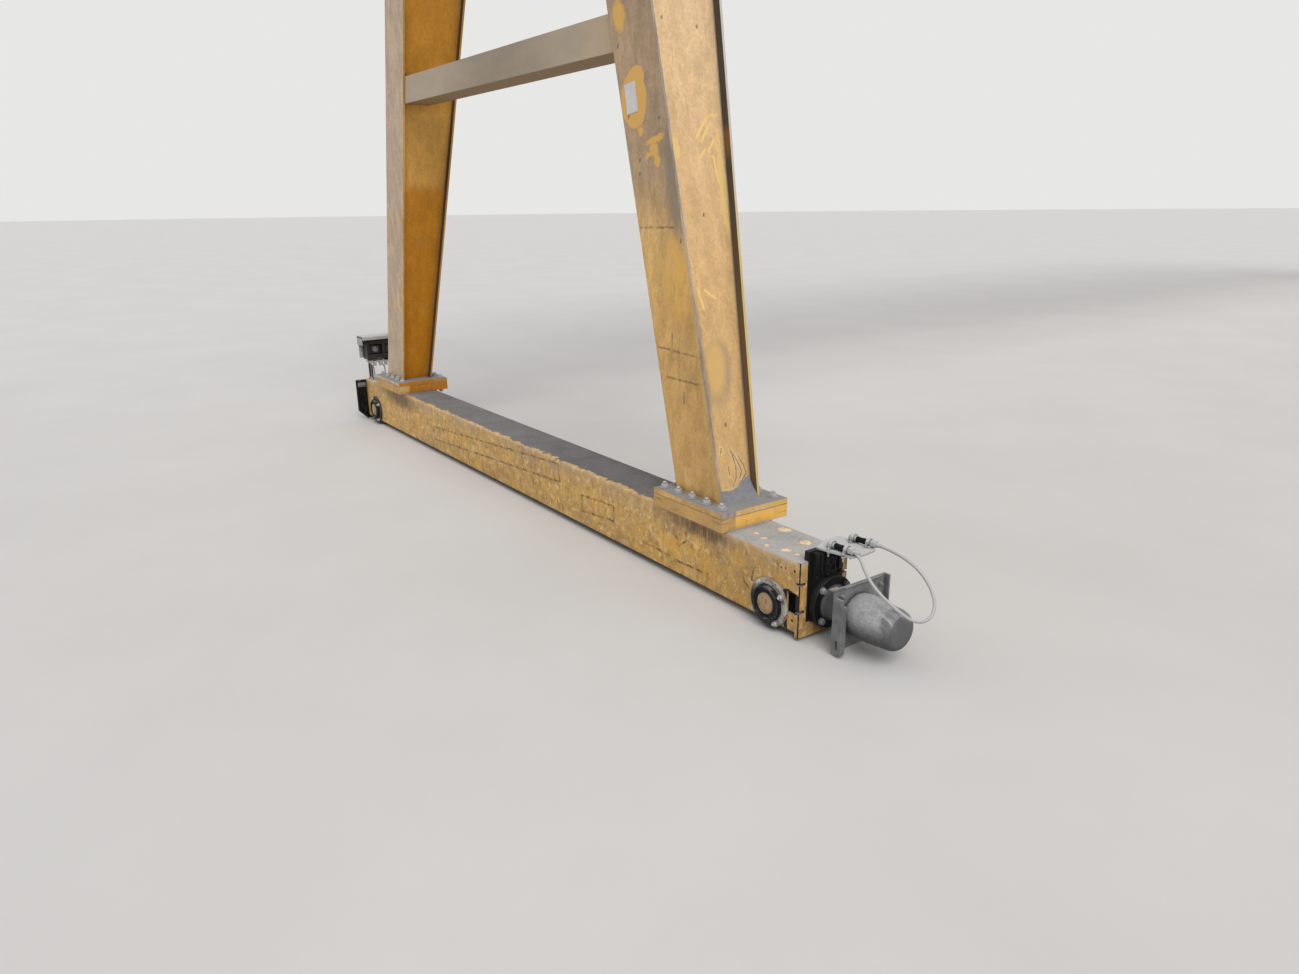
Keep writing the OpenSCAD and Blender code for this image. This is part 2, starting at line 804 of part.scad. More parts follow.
// Grooved rope drum over the trolley, axis along X.
module rope_drum() {
    turns = 12;
    step = (drum_l - 120) / turns;
    x0 = -drum_l / 2;
    grooves = [for (i = [0:turns - 1], k = [0, 1, 2])
        [drum_r - (k == 1 ? rope_dia / 2 : 0), x0 + 60 + (i + k / 3) * step]];
    color(dust_grey)
        translate([mid_x, 0, drum_z])
            revolve_x(concat(
                [[0, x0 - stand_gap - stand_t], [drum_shaft_r, x0 - stand_gap - stand_t],
                    [drum_shaft_r, x0], [drum_r + drum_rim, x0],
                    [drum_r + drum_rim, x0 + 14], [drum_r, x0 + 14]],
                grooves,
                [[drum_r, -x0 - 14], [drum_r + drum_rim, -x0 - 14],
                    [drum_r + drum_rim, -x0], [drum_shaft_r, -x0],
                    [drum_shaft_r, -x0 + stand_gap + stand_t],
                    [0, -x0 + stand_gap + stand_t]]));
}

// Bearing stands, gear case at the plain side and the rope anchor bar.
module hoist_gear() {
    foot = trolley_l / 2 - 250;
    stand_x = drum_l / 2 + stand_gap;
    case_t = 150;
    color(beam_yellow)
        translate([mid_x, 0, 0])
            difference() {
                union() {
                    for (x = [-stand_x - stand_t, stand_x])
                        along_x(x, x + stand_t)
                            polygon([
                                [-foot, cross_top], [foot, cross_top],
                                [foot, cross_top + 60], [160, drum_z + 130],
                                [-160, drum_z + 130], [-foot, cross_top + 60]
                            ]);
                    along_x(-stand_x - stand_t - case_t, -stand_x - stand_t + 1)
                        polygon([
                            [-190, drum_z - 150], [hoist_motor_y + 130, cross_top + 20],
                            [hoist_motor_y + 130, cross_top + 240],
                            [150, drum_z + 170], [-150, drum_z + 170],
                            [-190, drum_z + 130]
                        ]);
                    translate([-stand_x - 1, rope_y - 22, cross_top])
                        cube([2 * stand_x + 2, 44, 44]);
                }
                translate([0, 0, drum_z])
                    cyl_x(drum_shaft_r + 0.3, -stand_x - stand_t - 2, stand_x + stand_t + 1);
            }
}

// Hoist motor, flanged to the stand at the gear case and resting on a foot.
module hoist_motor() {
    x0 = -drum_l / 2 - stand_gap;
    r = hoist_motor_r;
    axis_z = cross_top + r + 30;
    color(dust_grey)
        translate([mid_x, 0, 0])
            union() {
                translate([0, hoist_motor_y, axis_z])
                    revolve_x([
                        [0, x0], [r + 20, x0], [r + 20, x0 + 18], [r - 30, x0 + 24],
                        [r - 30, x0 + 60], [r, x0 + 70], [r, x0 + 330],
                        [r - 10, x0 + 340], [r - 10, x0 + 440], [r - 30, x0 + 450],
                        [0, x0 + 450]
                    ]);
                translate([x0 + 120, hoist_motor_y - 60, cross_top])
                    cube([180, 120, 60]);
            }
}

// Four taut falls of rope, round two sheaves and up to drum and anchor bar.
module hoist_ropes() {
    color(dust_grey)
        for (x = [-sheave_x, sheave_x])
            translate([mid_x + x, 0, hook_z]) {
                translate([0, -rope_y, 0])
                    cylinder(r = rope_dia / 2, h = drum_z - hook_z, $fn = 16);
                translate([0, rope_y, 0])
                    cylinder(r = rope_dia / 2, h = cross_top - hook_z, $fn = 16);
                rotate([0, -90, 0])
                    rotate([0, 0, 90])
                        rotate_extrude(angle = 180)
                            translate([rope_y, 0])
                                circle(r = rope_dia / 2, $fn = 16);
            }
}

module sheaves() {
    color(dust_grey)
        for (x = [-sheave_x, sheave_x])
            translate([mid_x + x, 0, hook_z])
                revolve_x([
                    [pin_r + 0.3, -26], [55, -26], [60, -12], [drum_r - 22, -12],
                    [drum_r - 18, -18], [sheave_rim, -18], [sheave_rim, -rope_dia / 2 - 2],
                    [drum_r, -rope_dia / 2 - 1], [drum_r, rope_dia / 2 + 1],
                    [sheave_rim, rope_dia / 2 + 2], [sheave_rim, 18], [drum_r - 18, 18],
                    [drum_r - 22, 12], [60, 12], [55, 26], [pin_r + 0.3, 26]
                ]);
}

// Hook block: cheeks with a pin through the sheaves and a crosshead below.
module hook_block() {
    cheek_t = 16;
    cheek_x = sheave_x + 26 + 0.5;
    low = -sheave_rim - 90;
    color(beam_yellow)
        translate([mid_x, 0, hook_z])
            union() {
                for (x = [-cheek_x - cheek_t, cheek_x])
                    along_x(x, x + cheek_t)
                        polygon([
                            [-70, low], [70, low], [sheave_rim - 60, -60],
                            [sheave_rim - 60, 60], [60, sheave_rim - 20],
                            [-60, sheave_rim - 20], [60 - sheave_rim, 60],
                            [60 - sheave_rim, -60]
                        ]);
                cyl_x(pin_r, -cheek_x - cheek_t - 12, cheek_x + cheek_t + 12);
                translate([-cheek_x - 1, -55, low])
                    cube([2 * cheek_x + 2, 110, 62]);
            }
}

// Hook: shank under the crosshead, round bowl and tapered tip.
module hook() {
    ring_r = hook_r + hook_bar_r;
    color(dust_grey)
        translate([mid_x, 0, hook_centre_z])
            union() {
                translate([0, 0, ring_r])
                    cylinder(r = hook_bar_r - 4, h = hook_shank);
                translate([0, 0, ring_r])
                    sphere(r = hook_bar_r + 5);
                rotate([90, 0, 0])
                    rotate([0, 0, 90])
                        rotate_extrude(angle = 270)
                            translate([ring_r, 0])
                                circle(r = hook_bar_r, $fn = 32);
                translate([ring_r, 0, -4])
                    cylinder(r1 = hook_bar_r - 2, r2 = hook_tip_r, h = hook_tip_h);
            }
}

in_frame(-1) sole_beam();  // sole_beam_a
in_frame(-1) drive_leg();  // drive_leg_a
in_frame(-1) plain_leg();  // plain_leg_a
in_frame(-1) tie_beam();  // tie_beam_a
in_frame(-1) foot_flanges();  // foot_flanges_a
in_frame(-1) wheel(drive_wheel_x);  // drive_wheel_a
in_frame(-1) wheel(-plain_wheel_x);  // plain_wheel_a
in_frame(-1) bearings();  // bearings_a
in_frame(-1) end_frame();  // end_frame_a
in_frame(-1) gear_unit();  // gear_unit_a
in_frame(-1) motor_bracket();  // motor_bracket_a
in_frame(-1) motor();  // motor_a
in_frame(-1) gland_plate();  // gland_plate_a
in_frame(-1) drive_cable();  // drive_cable_a
in_frame(-1) end_flap();  // end_flap_a
in_frame(-1) sensor_box();  // sensor_box_a
in_frame(1) sole_beam();  // sole_beam_b
in_frame(1) drive_leg();  // drive_leg_b
in_frame(1) plain_leg();  // plain_leg_b
in_frame(1) tie_beam();  // tie_beam_b
in_frame(1) foot_flanges();  // foot_flanges_b
in_frame(1) wheel(drive_wheel_x);  // drive_wheel_b
in_frame(1) wheel(-plain_wheel_x);  // plain_wheel_b
in_frame(1) bearings();  // bearings_b
in_frame(1) end_frame();  // end_frame_b
in_frame(1) gear_unit();  // gear_unit_b
in_frame(1) motor_bracket();  // motor_bracket_b
in_frame(1) motor();  // motor_b
in_frame(1) gland_plate();  // gland_plate_b
in_frame(1) drive_cable();  // drive_cable_b
in_frame(1) end_flap();  // end_flap_b
in_frame(1) sensor_box();  // sensor_box_b
drive_side_girder();
plain_side_girder();
end_tie(-1);  // end_tie_a
end_tie(1);  // end_tie_b
trolley_frame();
trolley_wheels();
rope_drum();
hoist_gear();
hoist_motor();
hoist_ropes();
sheaves();
hook_block();
hook();
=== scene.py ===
"""Looks of the gantry crane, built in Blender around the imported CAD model."""
import json
import math
import random
from itertools import product

import bmesh
import bpy
from mathutils import Matrix, Vector


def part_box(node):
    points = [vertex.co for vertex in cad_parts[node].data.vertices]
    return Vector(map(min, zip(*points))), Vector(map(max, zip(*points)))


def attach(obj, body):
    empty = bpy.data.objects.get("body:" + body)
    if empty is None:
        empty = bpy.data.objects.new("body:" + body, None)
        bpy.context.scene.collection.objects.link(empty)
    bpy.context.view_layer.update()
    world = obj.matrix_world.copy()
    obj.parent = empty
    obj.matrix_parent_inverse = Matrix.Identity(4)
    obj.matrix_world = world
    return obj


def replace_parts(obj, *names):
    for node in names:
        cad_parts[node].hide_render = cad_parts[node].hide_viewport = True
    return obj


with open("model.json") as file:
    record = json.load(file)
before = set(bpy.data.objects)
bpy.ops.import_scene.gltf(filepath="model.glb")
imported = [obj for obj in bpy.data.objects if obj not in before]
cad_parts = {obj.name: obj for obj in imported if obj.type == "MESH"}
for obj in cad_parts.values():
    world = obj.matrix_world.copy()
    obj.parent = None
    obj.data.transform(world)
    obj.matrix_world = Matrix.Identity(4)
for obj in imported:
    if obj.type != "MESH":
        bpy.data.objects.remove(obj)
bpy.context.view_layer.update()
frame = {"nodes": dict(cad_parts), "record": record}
random.seed(7)

# Named places, in metres in the row frame
MM = 0.001
OUTER_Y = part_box("sole_beam_a")[0].y
GROUND_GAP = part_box("sole_beam_a")[0].z
FRAME_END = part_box("end_frame_a")[1].x
MID_X = (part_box("drive_leg_a")[1].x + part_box("plain_leg_a")[0].x) / 2

# The camera, solved from the edges and vanishing lines of the photograph
CAMERA_PLACE = Vector((MID_X + 4.707, OUTER_Y - 2.2957, GROUND_GAP + 1.6033))
CAMERA_YAW = math.radians(54.465)
CAMERA_PITCH = math.radians(17.480)
CAMERA_ROLL = math.radians(-0.573)
PHOTO_WIDTH = 1299
FOCAL_PIXELS = 900.58
SENSOR_WIDTH = 36

# Places in a leg frame, in its millimetres, as part.scad gives them
LEG_FOOT_X, LEG_TOP_X = 1802, 642
LEG_W, LEG_H = 308, 4800
LEG_SET_BACK = 40
LEG_FOOT_D, LEG_TOP_D = 218, 590
PLATE_T = 12
LEG_CORE = LEG_W / 2 - 42
FOOT_TOP = 382
LEG_TOP = FOOT_TOP + LEG_H
LEAN = (LEG_FOOT_X - LEG_TOP_X) / LEG_H
BEAM_H, BEAM_W = 300, 255
FOOT_L = 476
AXLE_Z = 85
WHEEL_X = (2310, -2165)
FLANGE_BACK = 12
GEAR_X, GEAR_FLANGE_X, BRACKET_X = 2485, 2507, 2620
MOTOR_X, MOTOR_Y, MOTOR_Z = 2628, 151, 114
GLAND_X, GLAND_Z, GLAND_L = 2491, 359, 120
GLAND_Y, GLAND_TURN = (125, 243), (4, 7)
CABLE_R = 6
PLATE_TOP = 346
RAIL_H, RAIL_W, RAIL_END_BACK = 40, 50, 400
GIRDER_TOP_BACK = 180

# The drive cable's points, as part.scad gives them
CABLE_POINTS = (
    (2642, 261, 357), (2675, 262, 355), (2708, 262, 351), (2742, 261, 345),
    (2774, 260, 336), (2802, 260, 324), (2826, 259, 310), (2847, 257, 295),
    (2867, 253, 278), (2886, 246, 261), (2904, 234, 245), (2919, 218, 230),
    (2930, 198, 216), (2935, 176, 205), (2933, 155, 198), (2924, 136, 195),
    (2907, 122, 197), (2882, 114, 204), (2848, 111, 215), (2811, 111, 228),
    (2776, 112, 242), (2747, 113, 257), (2722, 114, 273), (2699, 116, 292),
    (2678, 119, 313), (2659, 124, 334), (2637, 129, 350),
)

# Colours, as linear values
YELLOW = (0.60, 0.355, 0.085)
YELLOW_WORN = (0.50, 0.30, 0.10)
YELLOW_PALE = (0.68, 0.44, 0.18)
CREAM = (0.62, 0.47, 0.30)
TAN_DUST = (0.36, 0.255, 0.155)
GREY_DUST = (0.27, 0.262, 0.258)
PALE_DUST = (0.385, 0.378, 0.368)
DARK_DUST = (0.145, 0.140, 0.136)
# Dark grime, also the colour of painted shade in hollows
GRIME_AND_SHADE = (0.075, 0.060, 0.045)
RUST = (0.20, 0.085, 0.035)
BARE_STEEL = (0.30, 0.295, 0.29)
NEAR_BLACK = (0.012, 0.012, 0.013)
BROWN_STAIN = (0.24, 0.125, 0.045)

# Marks on frame a, as points in its millimetres
BEAM_LINES = (
    ((-1048, 159), (649, 279), (666, 181), (-1039, 72), (-1048, 159)),
    ((890, 165), (1188, 183), (1185, 106), (885, 78), (890, 165)),
    ((-506, 88), (-487, 19)),
    ((1431, 72), (1545, 74), (1648, 70)),
    ((1693, 63), (1878, 68)),
    ((1674, 202), (1723, 145), (1765, 174), (1765, 276)),
    ((2152, 129), (2169, 74)),
    ((2160, 115), (2184, 101)),
    ((2218, 201), (2197, 150), (2201, 141)),
)
BEAM_SCRAPES = (((1825, 106), (1826, 11)), ((1483, 302), (1495, 265)))
# Painted shade for an opening and a gap beside the driven bearing
BEAM_OPENING_SHADE = ((2412, 128), (2440, 124))
BEAM_GAP = ((2398, 110), (2402, 12))
# Chips in the dust on the beam, each a middle and a radius
BEAM_CHIPS = (
    (2160, 213, 30), (2122, 90, 13), (2189, 81, 17), (2335, 56, 20),
    (2396, 60, 14), (2320, 173, 26), (2307, 144, 9), (2250, 30, 12),
)
LEG_LINES = (
    ((1391, 1504), (1624, 1507)),
    ((1519, 1002), (1826, 989)),
    ((1577, 878), (1800, 876)),
    ((1614, 1069), (1613, 961)),
    ((1698, 826), (1698, 760)),
)
LEG_DOTS = ((1240, 2236), (1530, 1934), (1312, 1955), (1391, 1779), (1390, 1722), (1675, 1452))
LEG_YELLOW = (
    ((1400, 1890), (16, 22)), ((1500, 1856), (62, 14)), ((1490, 1812), (26, 34)),
    ((1511, 1768), (20, 26)), ((1452, 1796), (22, 12)), ((1250, 2350), (42, 60)),
)
WEB_LINES = (
    ((162, 588), (177, 565), (198, 526), (210, 488), (196, 462)),
    ((196, 569), (225, 514), (232, 477), (203, 446)),
    ((165, 581), (182, 514), (179, 472), (153, 434)),
    ((140, 521), (143, 485)),
    ((118, 602), (109, 579)),
)
HEAP_EDGE = ((96, 462), (100, 428), (149, 420), (209, 438), (246, 470))
WEB_DOTS = ((158, 694), (196, 1555), (296, 2304), (119, 2325))
WEB_SCRAPES = (
    ((215, 1867), (284, 1949), (340, 1958)),
    ((235, 1850), (300, 1925)),
    ((272, 1809), (305, 1860), (330, 1790)),
    ((250, 1815), (215, 1780)),
    ((291, 1789), (314, 1614)),
    ((330, 1900), (345, 1560)),
    ((110, 1260), (127, 1177)),
    ((147, 1253), (195, 1218)),
)


def link(name, data):
    """A new object that shows data in the scene."""
    obj = bpy.data.objects.new(name, data)
    bpy.context.scene.collection.objects.link(obj)
    return obj


def make_camera():
    cam = bpy.data.cameras.new("camera")
    cam.sensor_width = SENSOR_WIDTH
    cam.lens = SENSOR_WIDTH * FOCAL_PIXELS / PHOTO_WIDTH
    cam.clip_start, cam.clip_end = 0.05, 500
    obj = link("camera", cam)
    place = Matrix.Translation(CAMERA_PLACE)
    for angle, axis in ((CAMERA_YAW, "Z"), (math.pi / 2 - CAMERA_PITCH, "X"), (CAMERA_ROLL, "Z")):
        place = place @ Matrix.Rotation(angle, 4, axis)
    obj.matrix_world = place
    bpy.context.scene.camera = obj


def sun(name, strength, angle, turn, height, colour=(1, 1, 1)):
    """A soft lamp shining from compass direction turn and height, in degrees."""
    lamp = bpy.data.lights.new(name, "SUN")
    lamp.energy = strength
    lamp.angle = math.radians(angle)
    lamp.color = colour
    a, h = math.radians(turn), math.radians(height)
    source = Vector((math.cos(a) * math.cos(h), math.sin(a) * math.cos(h), math.sin(h)))
    link(name, lamp).rotation_euler = source.to_track_quat("Z", "Y").to_euler()


class Field:
    """A value or colour that varies over a surface, for use in sums."""

    def __init__(self, nodes, socket):
        self.nodes, self.socket = nodes, socket

    def __add__(self, other):
        return self.nodes.math("ADD", self, other)

    def __sub__(self, other):
        return self.nodes.math("SUBTRACT", self, other)

    def __rsub__(self, other):
        return self.nodes.math("SUBTRACT", other, self)

    def __mul__(self, other):
        return self.nodes.math("MULTIPLY", self, other)

    def __abs__(self):
        return self.nodes.math("ABSOLUTE", self)


class Nodes:
    """The node tree of a material or a world."""

    def __init__(self, owner):
        owner.use_nodes = True
        self.tree = owner.node_tree
        self.tree.nodes.clear()

    def feed(self, socket, value):
        if isinstance(value, Field):
            self.tree.links.new(value.socket, socket)
        elif isinstance(value, tuple) and socket.type == "RGBA":
            socket.default_value = (*value[:3], 1)
        else:
            socket.default_value = value

    def node(self, kind, inputs=(), **settings):
        """A node with its settings; its inputs go by number or by name."""
        node = self.tree.nodes.new("ShaderNode" + kind)
        for name, value in settings.items():
            setattr(node, name, value)
        for key, value in dict(inputs).items():
            self.feed(node.inputs[key], value)
        return node

    def field(self, kind, inputs=(), out=0, **settings):
        """One output of a new node."""
        return Field(self, self.node(kind, inputs, **settings).outputs[out])

    def fields(self, kind, inputs=()):
        """Every output of a new node."""
        return [Field(self, socket) for socket in self.node(kind, inputs).outputs]

    def math(self, what, a, b=0.0, clamp=False):
        return self.field("Math", {0: a, 1: b}, operation=what, use_clamp=clamp)


def make_light():
    """Soft lamps and a dome, with a paler background for the camera, metal and glass."""
    sun("key", 1.95, 40, -22, 48, (1.0, 0.985, 0.96))
    sun("fill", 0.45, 60, -150, 50)
    sun("back", 0.35, 60, 70, 45)
    world = bpy.data.worlds.new("studio")
    nodes = Nodes(world)
    dome = nodes.field("Background", {"Color": (0.93, 0.96, 1.0), "Strength": 0.44})
    backdrop = nodes.field("Background", {"Color": (0.80, 0.80, 0.79), "Strength": 1.0})
    seen = nodes.field("LightPath", out="Is Camera Ray")
    for ray in ("Is Glossy Ray", "Is Transmission Ray"):
        seen = nodes.math("MAXIMUM", seen, nodes.field("LightPath", out=ray))
    nodes.node("OutputWorld", {"Surface": nodes.field("MixShader", {0: seen, 1: dome, 2: backdrop})})
    bpy.context.scene.world = world


class Shader(Nodes):
    """A material put together from short calls, one for each idea in it."""

    def __init__(self, name, colour=None):
        self.material = bpy.data.materials.new(name)
        super().__init__(self.material)
        self.colour = colour
        self.place = self.field("TexCoord", out="Object")
        self.x, self.y, self.z = self.fields("SeparateXYZ", {0: self.place})
        normal = self.field("TexCoord", out="Normal")
        self.nx, self.ny, self.nz = self.fields("SeparateXYZ", {0: normal})
        # Frame a's own millimetres, and 1 on frame a alone
        self.u = (self.x - MID_X) * (1 / MM)
        self.v = (self.y - OUTER_Y) * (1 / MM)
        self.w = (self.z - GROUND_GAP) * (1 / MM)
        self.on_a = self.rise(self.y, -9.2, -9.3)
        # Depth behind the outer face of either frame, and 1 where that side is faced
        self.depth = (-OUTER_Y - abs(self.y)) * (1 / MM)
        self.front = self.rise(self.ny * self.math("SIGN", self.y), 0.6, 0.8)
        self.on_top = self.rise(self.nz, 0.55, 0.80)
        self.flats = {}

    def most(self, a, b):
        return self.math("MAXIMUM", a, b)

    def least(self, a, b):
        return self.math("MINIMUM", a, b)

    def rise(self, value, low, high, start=0.0, end=1.0):
        """Smooth step of value from low to high, which may fall as well as rise."""
        if low > high:
            low, high, start, end = high, low, end, start
        numbers = enumerate((value, low, high, start, end))
        return self.field("MapRange", numbers, interpolation_type="SMOOTHSTEP")

    def noise(self, scale, detail=4.0, rough=0.55, warp=0.0, shift=(0, 0, 0)):
        """Noise of so many features a metre; scale may differ along X, Y and Z."""
        if not isinstance(scale, tuple):
            scale = (scale, scale, scale)
        place = self.field("Mapping", {"Vector": self.place, "Location": shift, "Scale": scale})
        return self.field("TexNoise", {
            "Vector": place, "Scale": 1.0, "Detail": detail, "Roughness": rough, "Distortion": warp,
        })

    def cloud(self, scale, detail, rough, low, high, start=0.0, end=1.0, warp=0.0, shift=(0, 0, 0)):
        """Noise turned into patches: start where it is below low, end where it is above high."""
        return self.rise(self.noise(scale, detail, rough, warp, shift), low, high, start, end)

    def jitter(self, amount, scale, detail, rough, warp=0.0, shift=(0, 0, 0)):
        """Noise about zero, for shaking an edge by up to half the amount."""
        return (self.noise(scale, detail, rough, warp, shift) - 0.5) * amount

    def blend(self, mask, a, b):
        """Colour a where mask is 0 and colour b where it is 1."""
        return self.field("Mix", {0: mask, 6: a, 7: b}, 2, data_type="RGBA")

    def tint(self, colour, amount):
        """Colour darkened or lightened by a factor that varies."""
        grey = self.field("CombineColor", {0: amount, 1: amount, 2: amount})
        inputs = {0: 1.0, 6: colour, 7: grey}
        return self.field("Mix", inputs, 2, data_type="RGBA", blend_type="MULTIPLY")

    def coat(self, tone, mask):
        """Lays tone over the colour so far, where mask is 1."""
        self.colour = self.blend(mask, self.colour, tone)

    def shade(self, amount):
        """Darkens or lightens the colour so far."""
        self.colour = self.tint(self.colour, amount)

    def layers(self, rows):
        """Streaks and flecks: scale, low, high, amount, colour and shift of each."""
        for scale, low, high, amount, tone, shift in rows:
            patches = self.cloud(scale, 5, 0.68, low, high, warp=0.3, shift=(shift, shift * 2, 1))
            self.coat(tone, patches * amount)

    def vector(self, what, a, b=None, scale=None):
        number = what in ("DOT_PRODUCT", "LENGTH", "DISTANCE")
        pairs = ((0, a), (1, b), ("Scale", scale))
        inputs = [(key, value) for key, value in pairs if value is not None]
        return self.field("VectorMath", inputs, "Value" if number else "Vector", operation=what)

    def edges(self, radius):
        """1 on edges whose rounding by radius would turn the surface."""
        rounded = self.field("Bevel", {"Radius": radius}, samples=4)
        flat = self.field("NewGeometry", out="Normal")
        return self.rise(self.vector("DOT_PRODUCT", rounded, flat), 0.999, 0.90)

    def worn(self, radius, scale, low, high, detail=3, rough=0.6):
        """1 on rubbed edges, broken up by a noise."""
        return self.edges(radius) * self.cloud(scale, detail, rough, low, high)

    def hollows(self, distance):
        """1 deep in corners and hollows, 0 on open faces: the mask for painted shade."""
        open_air = self.field("AmbientOcclusion", {"Distance": distance}, "AO", samples=4)
        return self.rise(open_air, 0.85, 0.25)

    def flat(self, side, wobble):
        """u or v and w of frame a as a vector, shaken a little so that marks look loose."""
        key = side, wobble
        if key not in self.flats:
            plain = self.field("CombineXYZ", {0: self.u if side == "u" else self.v, 1: self.w})
            noise = {"Vector": self.place, "Scale": 15, "Detail": 6, "Roughness": 0.75}
            shaken = self.vector("SUBTRACT", self.field("TexNoise", noise, "Color"), (0.5, 0.5, 0.5))
            shaken = self.vector("MULTIPLY", shaken, (wobble, wobble, 0))
            self.flats[key] = self.vector("ADD", plain, shaken)
        return self.flats[key]

    def nearest(self, distances):
        """The smallest of some fields."""
        smallest = distances[0]
        for distance in distances[1:]:
            smallest = self.least(smallest, distance)
        return smallest

    def away(self, lines, side="u", wobble=9.0):
        """Distance to the nearest of some lines, each a row of points in frame a's millimetres."""
        place, distances = self.flat(side, wobble), []
        for points in lines:
            for start, end in zip(points, points[1:]):
                start, end = Vector((*start, 0)), Vector((*end, 0))
                way = end - start
                gap = self.vector("SUBTRACT", place, tuple(start))
                along = self.vector("DOT_PRODUCT", gap, tuple(way / way.length_squared))
                along = self.math("MAXIMUM", along, 0.0, clamp=True)
                foot = self.vector("SCALE", tuple(way), scale=along)
                distances.append(self.vector("DISTANCE", gap, foot))
        return self.nearest(distances)

    def strokes(self, lines, width, side="u", wobble=9.0, fade=0.0):
        """Lines such as scratches, broken up where fade is given."""
        marks = self.rise(self.away(lines, side, wobble), width, width * 0.1)
        if fade:
            marks = marks * self.cloud(24, 5, 0.7, fade, fade + 0.25)
        return marks * self.on_a

    def spots(self, rows, side="u", lean=0.0, soft=0.2, wobble=20.0):
        """Patches with loose edges, each a middle and two radii in frame a's millimetres."""
        place = self.flat(side, wobble)
        distances = []
        for middle, radii in rows:
            inputs = {
                "Vector": place, "Location": (*middle, 0), "Scale": (*radii, 1),
                "Rotation": (0, 0, -math.atan(lean)),
            }
            patch = self.field("Mapping", inputs, vector_type="TEXTURE")
            distances.append(self.vector("LENGTH", patch))
        return self.rise(self.nearest(distances), 1 + soft, 1 - soft) * self.on_a

    def distance(self, *pairs):
        """How far a point lies from a middle; each pair is a coordinate and its middle."""
        (a, a0), (b, b0) = pairs
        across, upward = a - a0, b - b0
        return self.math("SQRT", across * across + upward * upward)

    def finish(self, rough=0.6, metal=0.0, height=None, depth=0.001, gloss=0.5):
        """Connects the shader; height is a bump field of that depth in metres."""
        inputs = {
            "Base Color": self.colour, "Roughness": rough, "Metallic": metal,
            "Specular IOR Level": gloss,
        }
        if height:
            inputs["Normal"] = self.field("Bump", {"Distance": depth, "Height": height})
        self.node("OutputMaterial", {"Surface": self.field("BsdfPrincipled", inputs)})
        return self.material


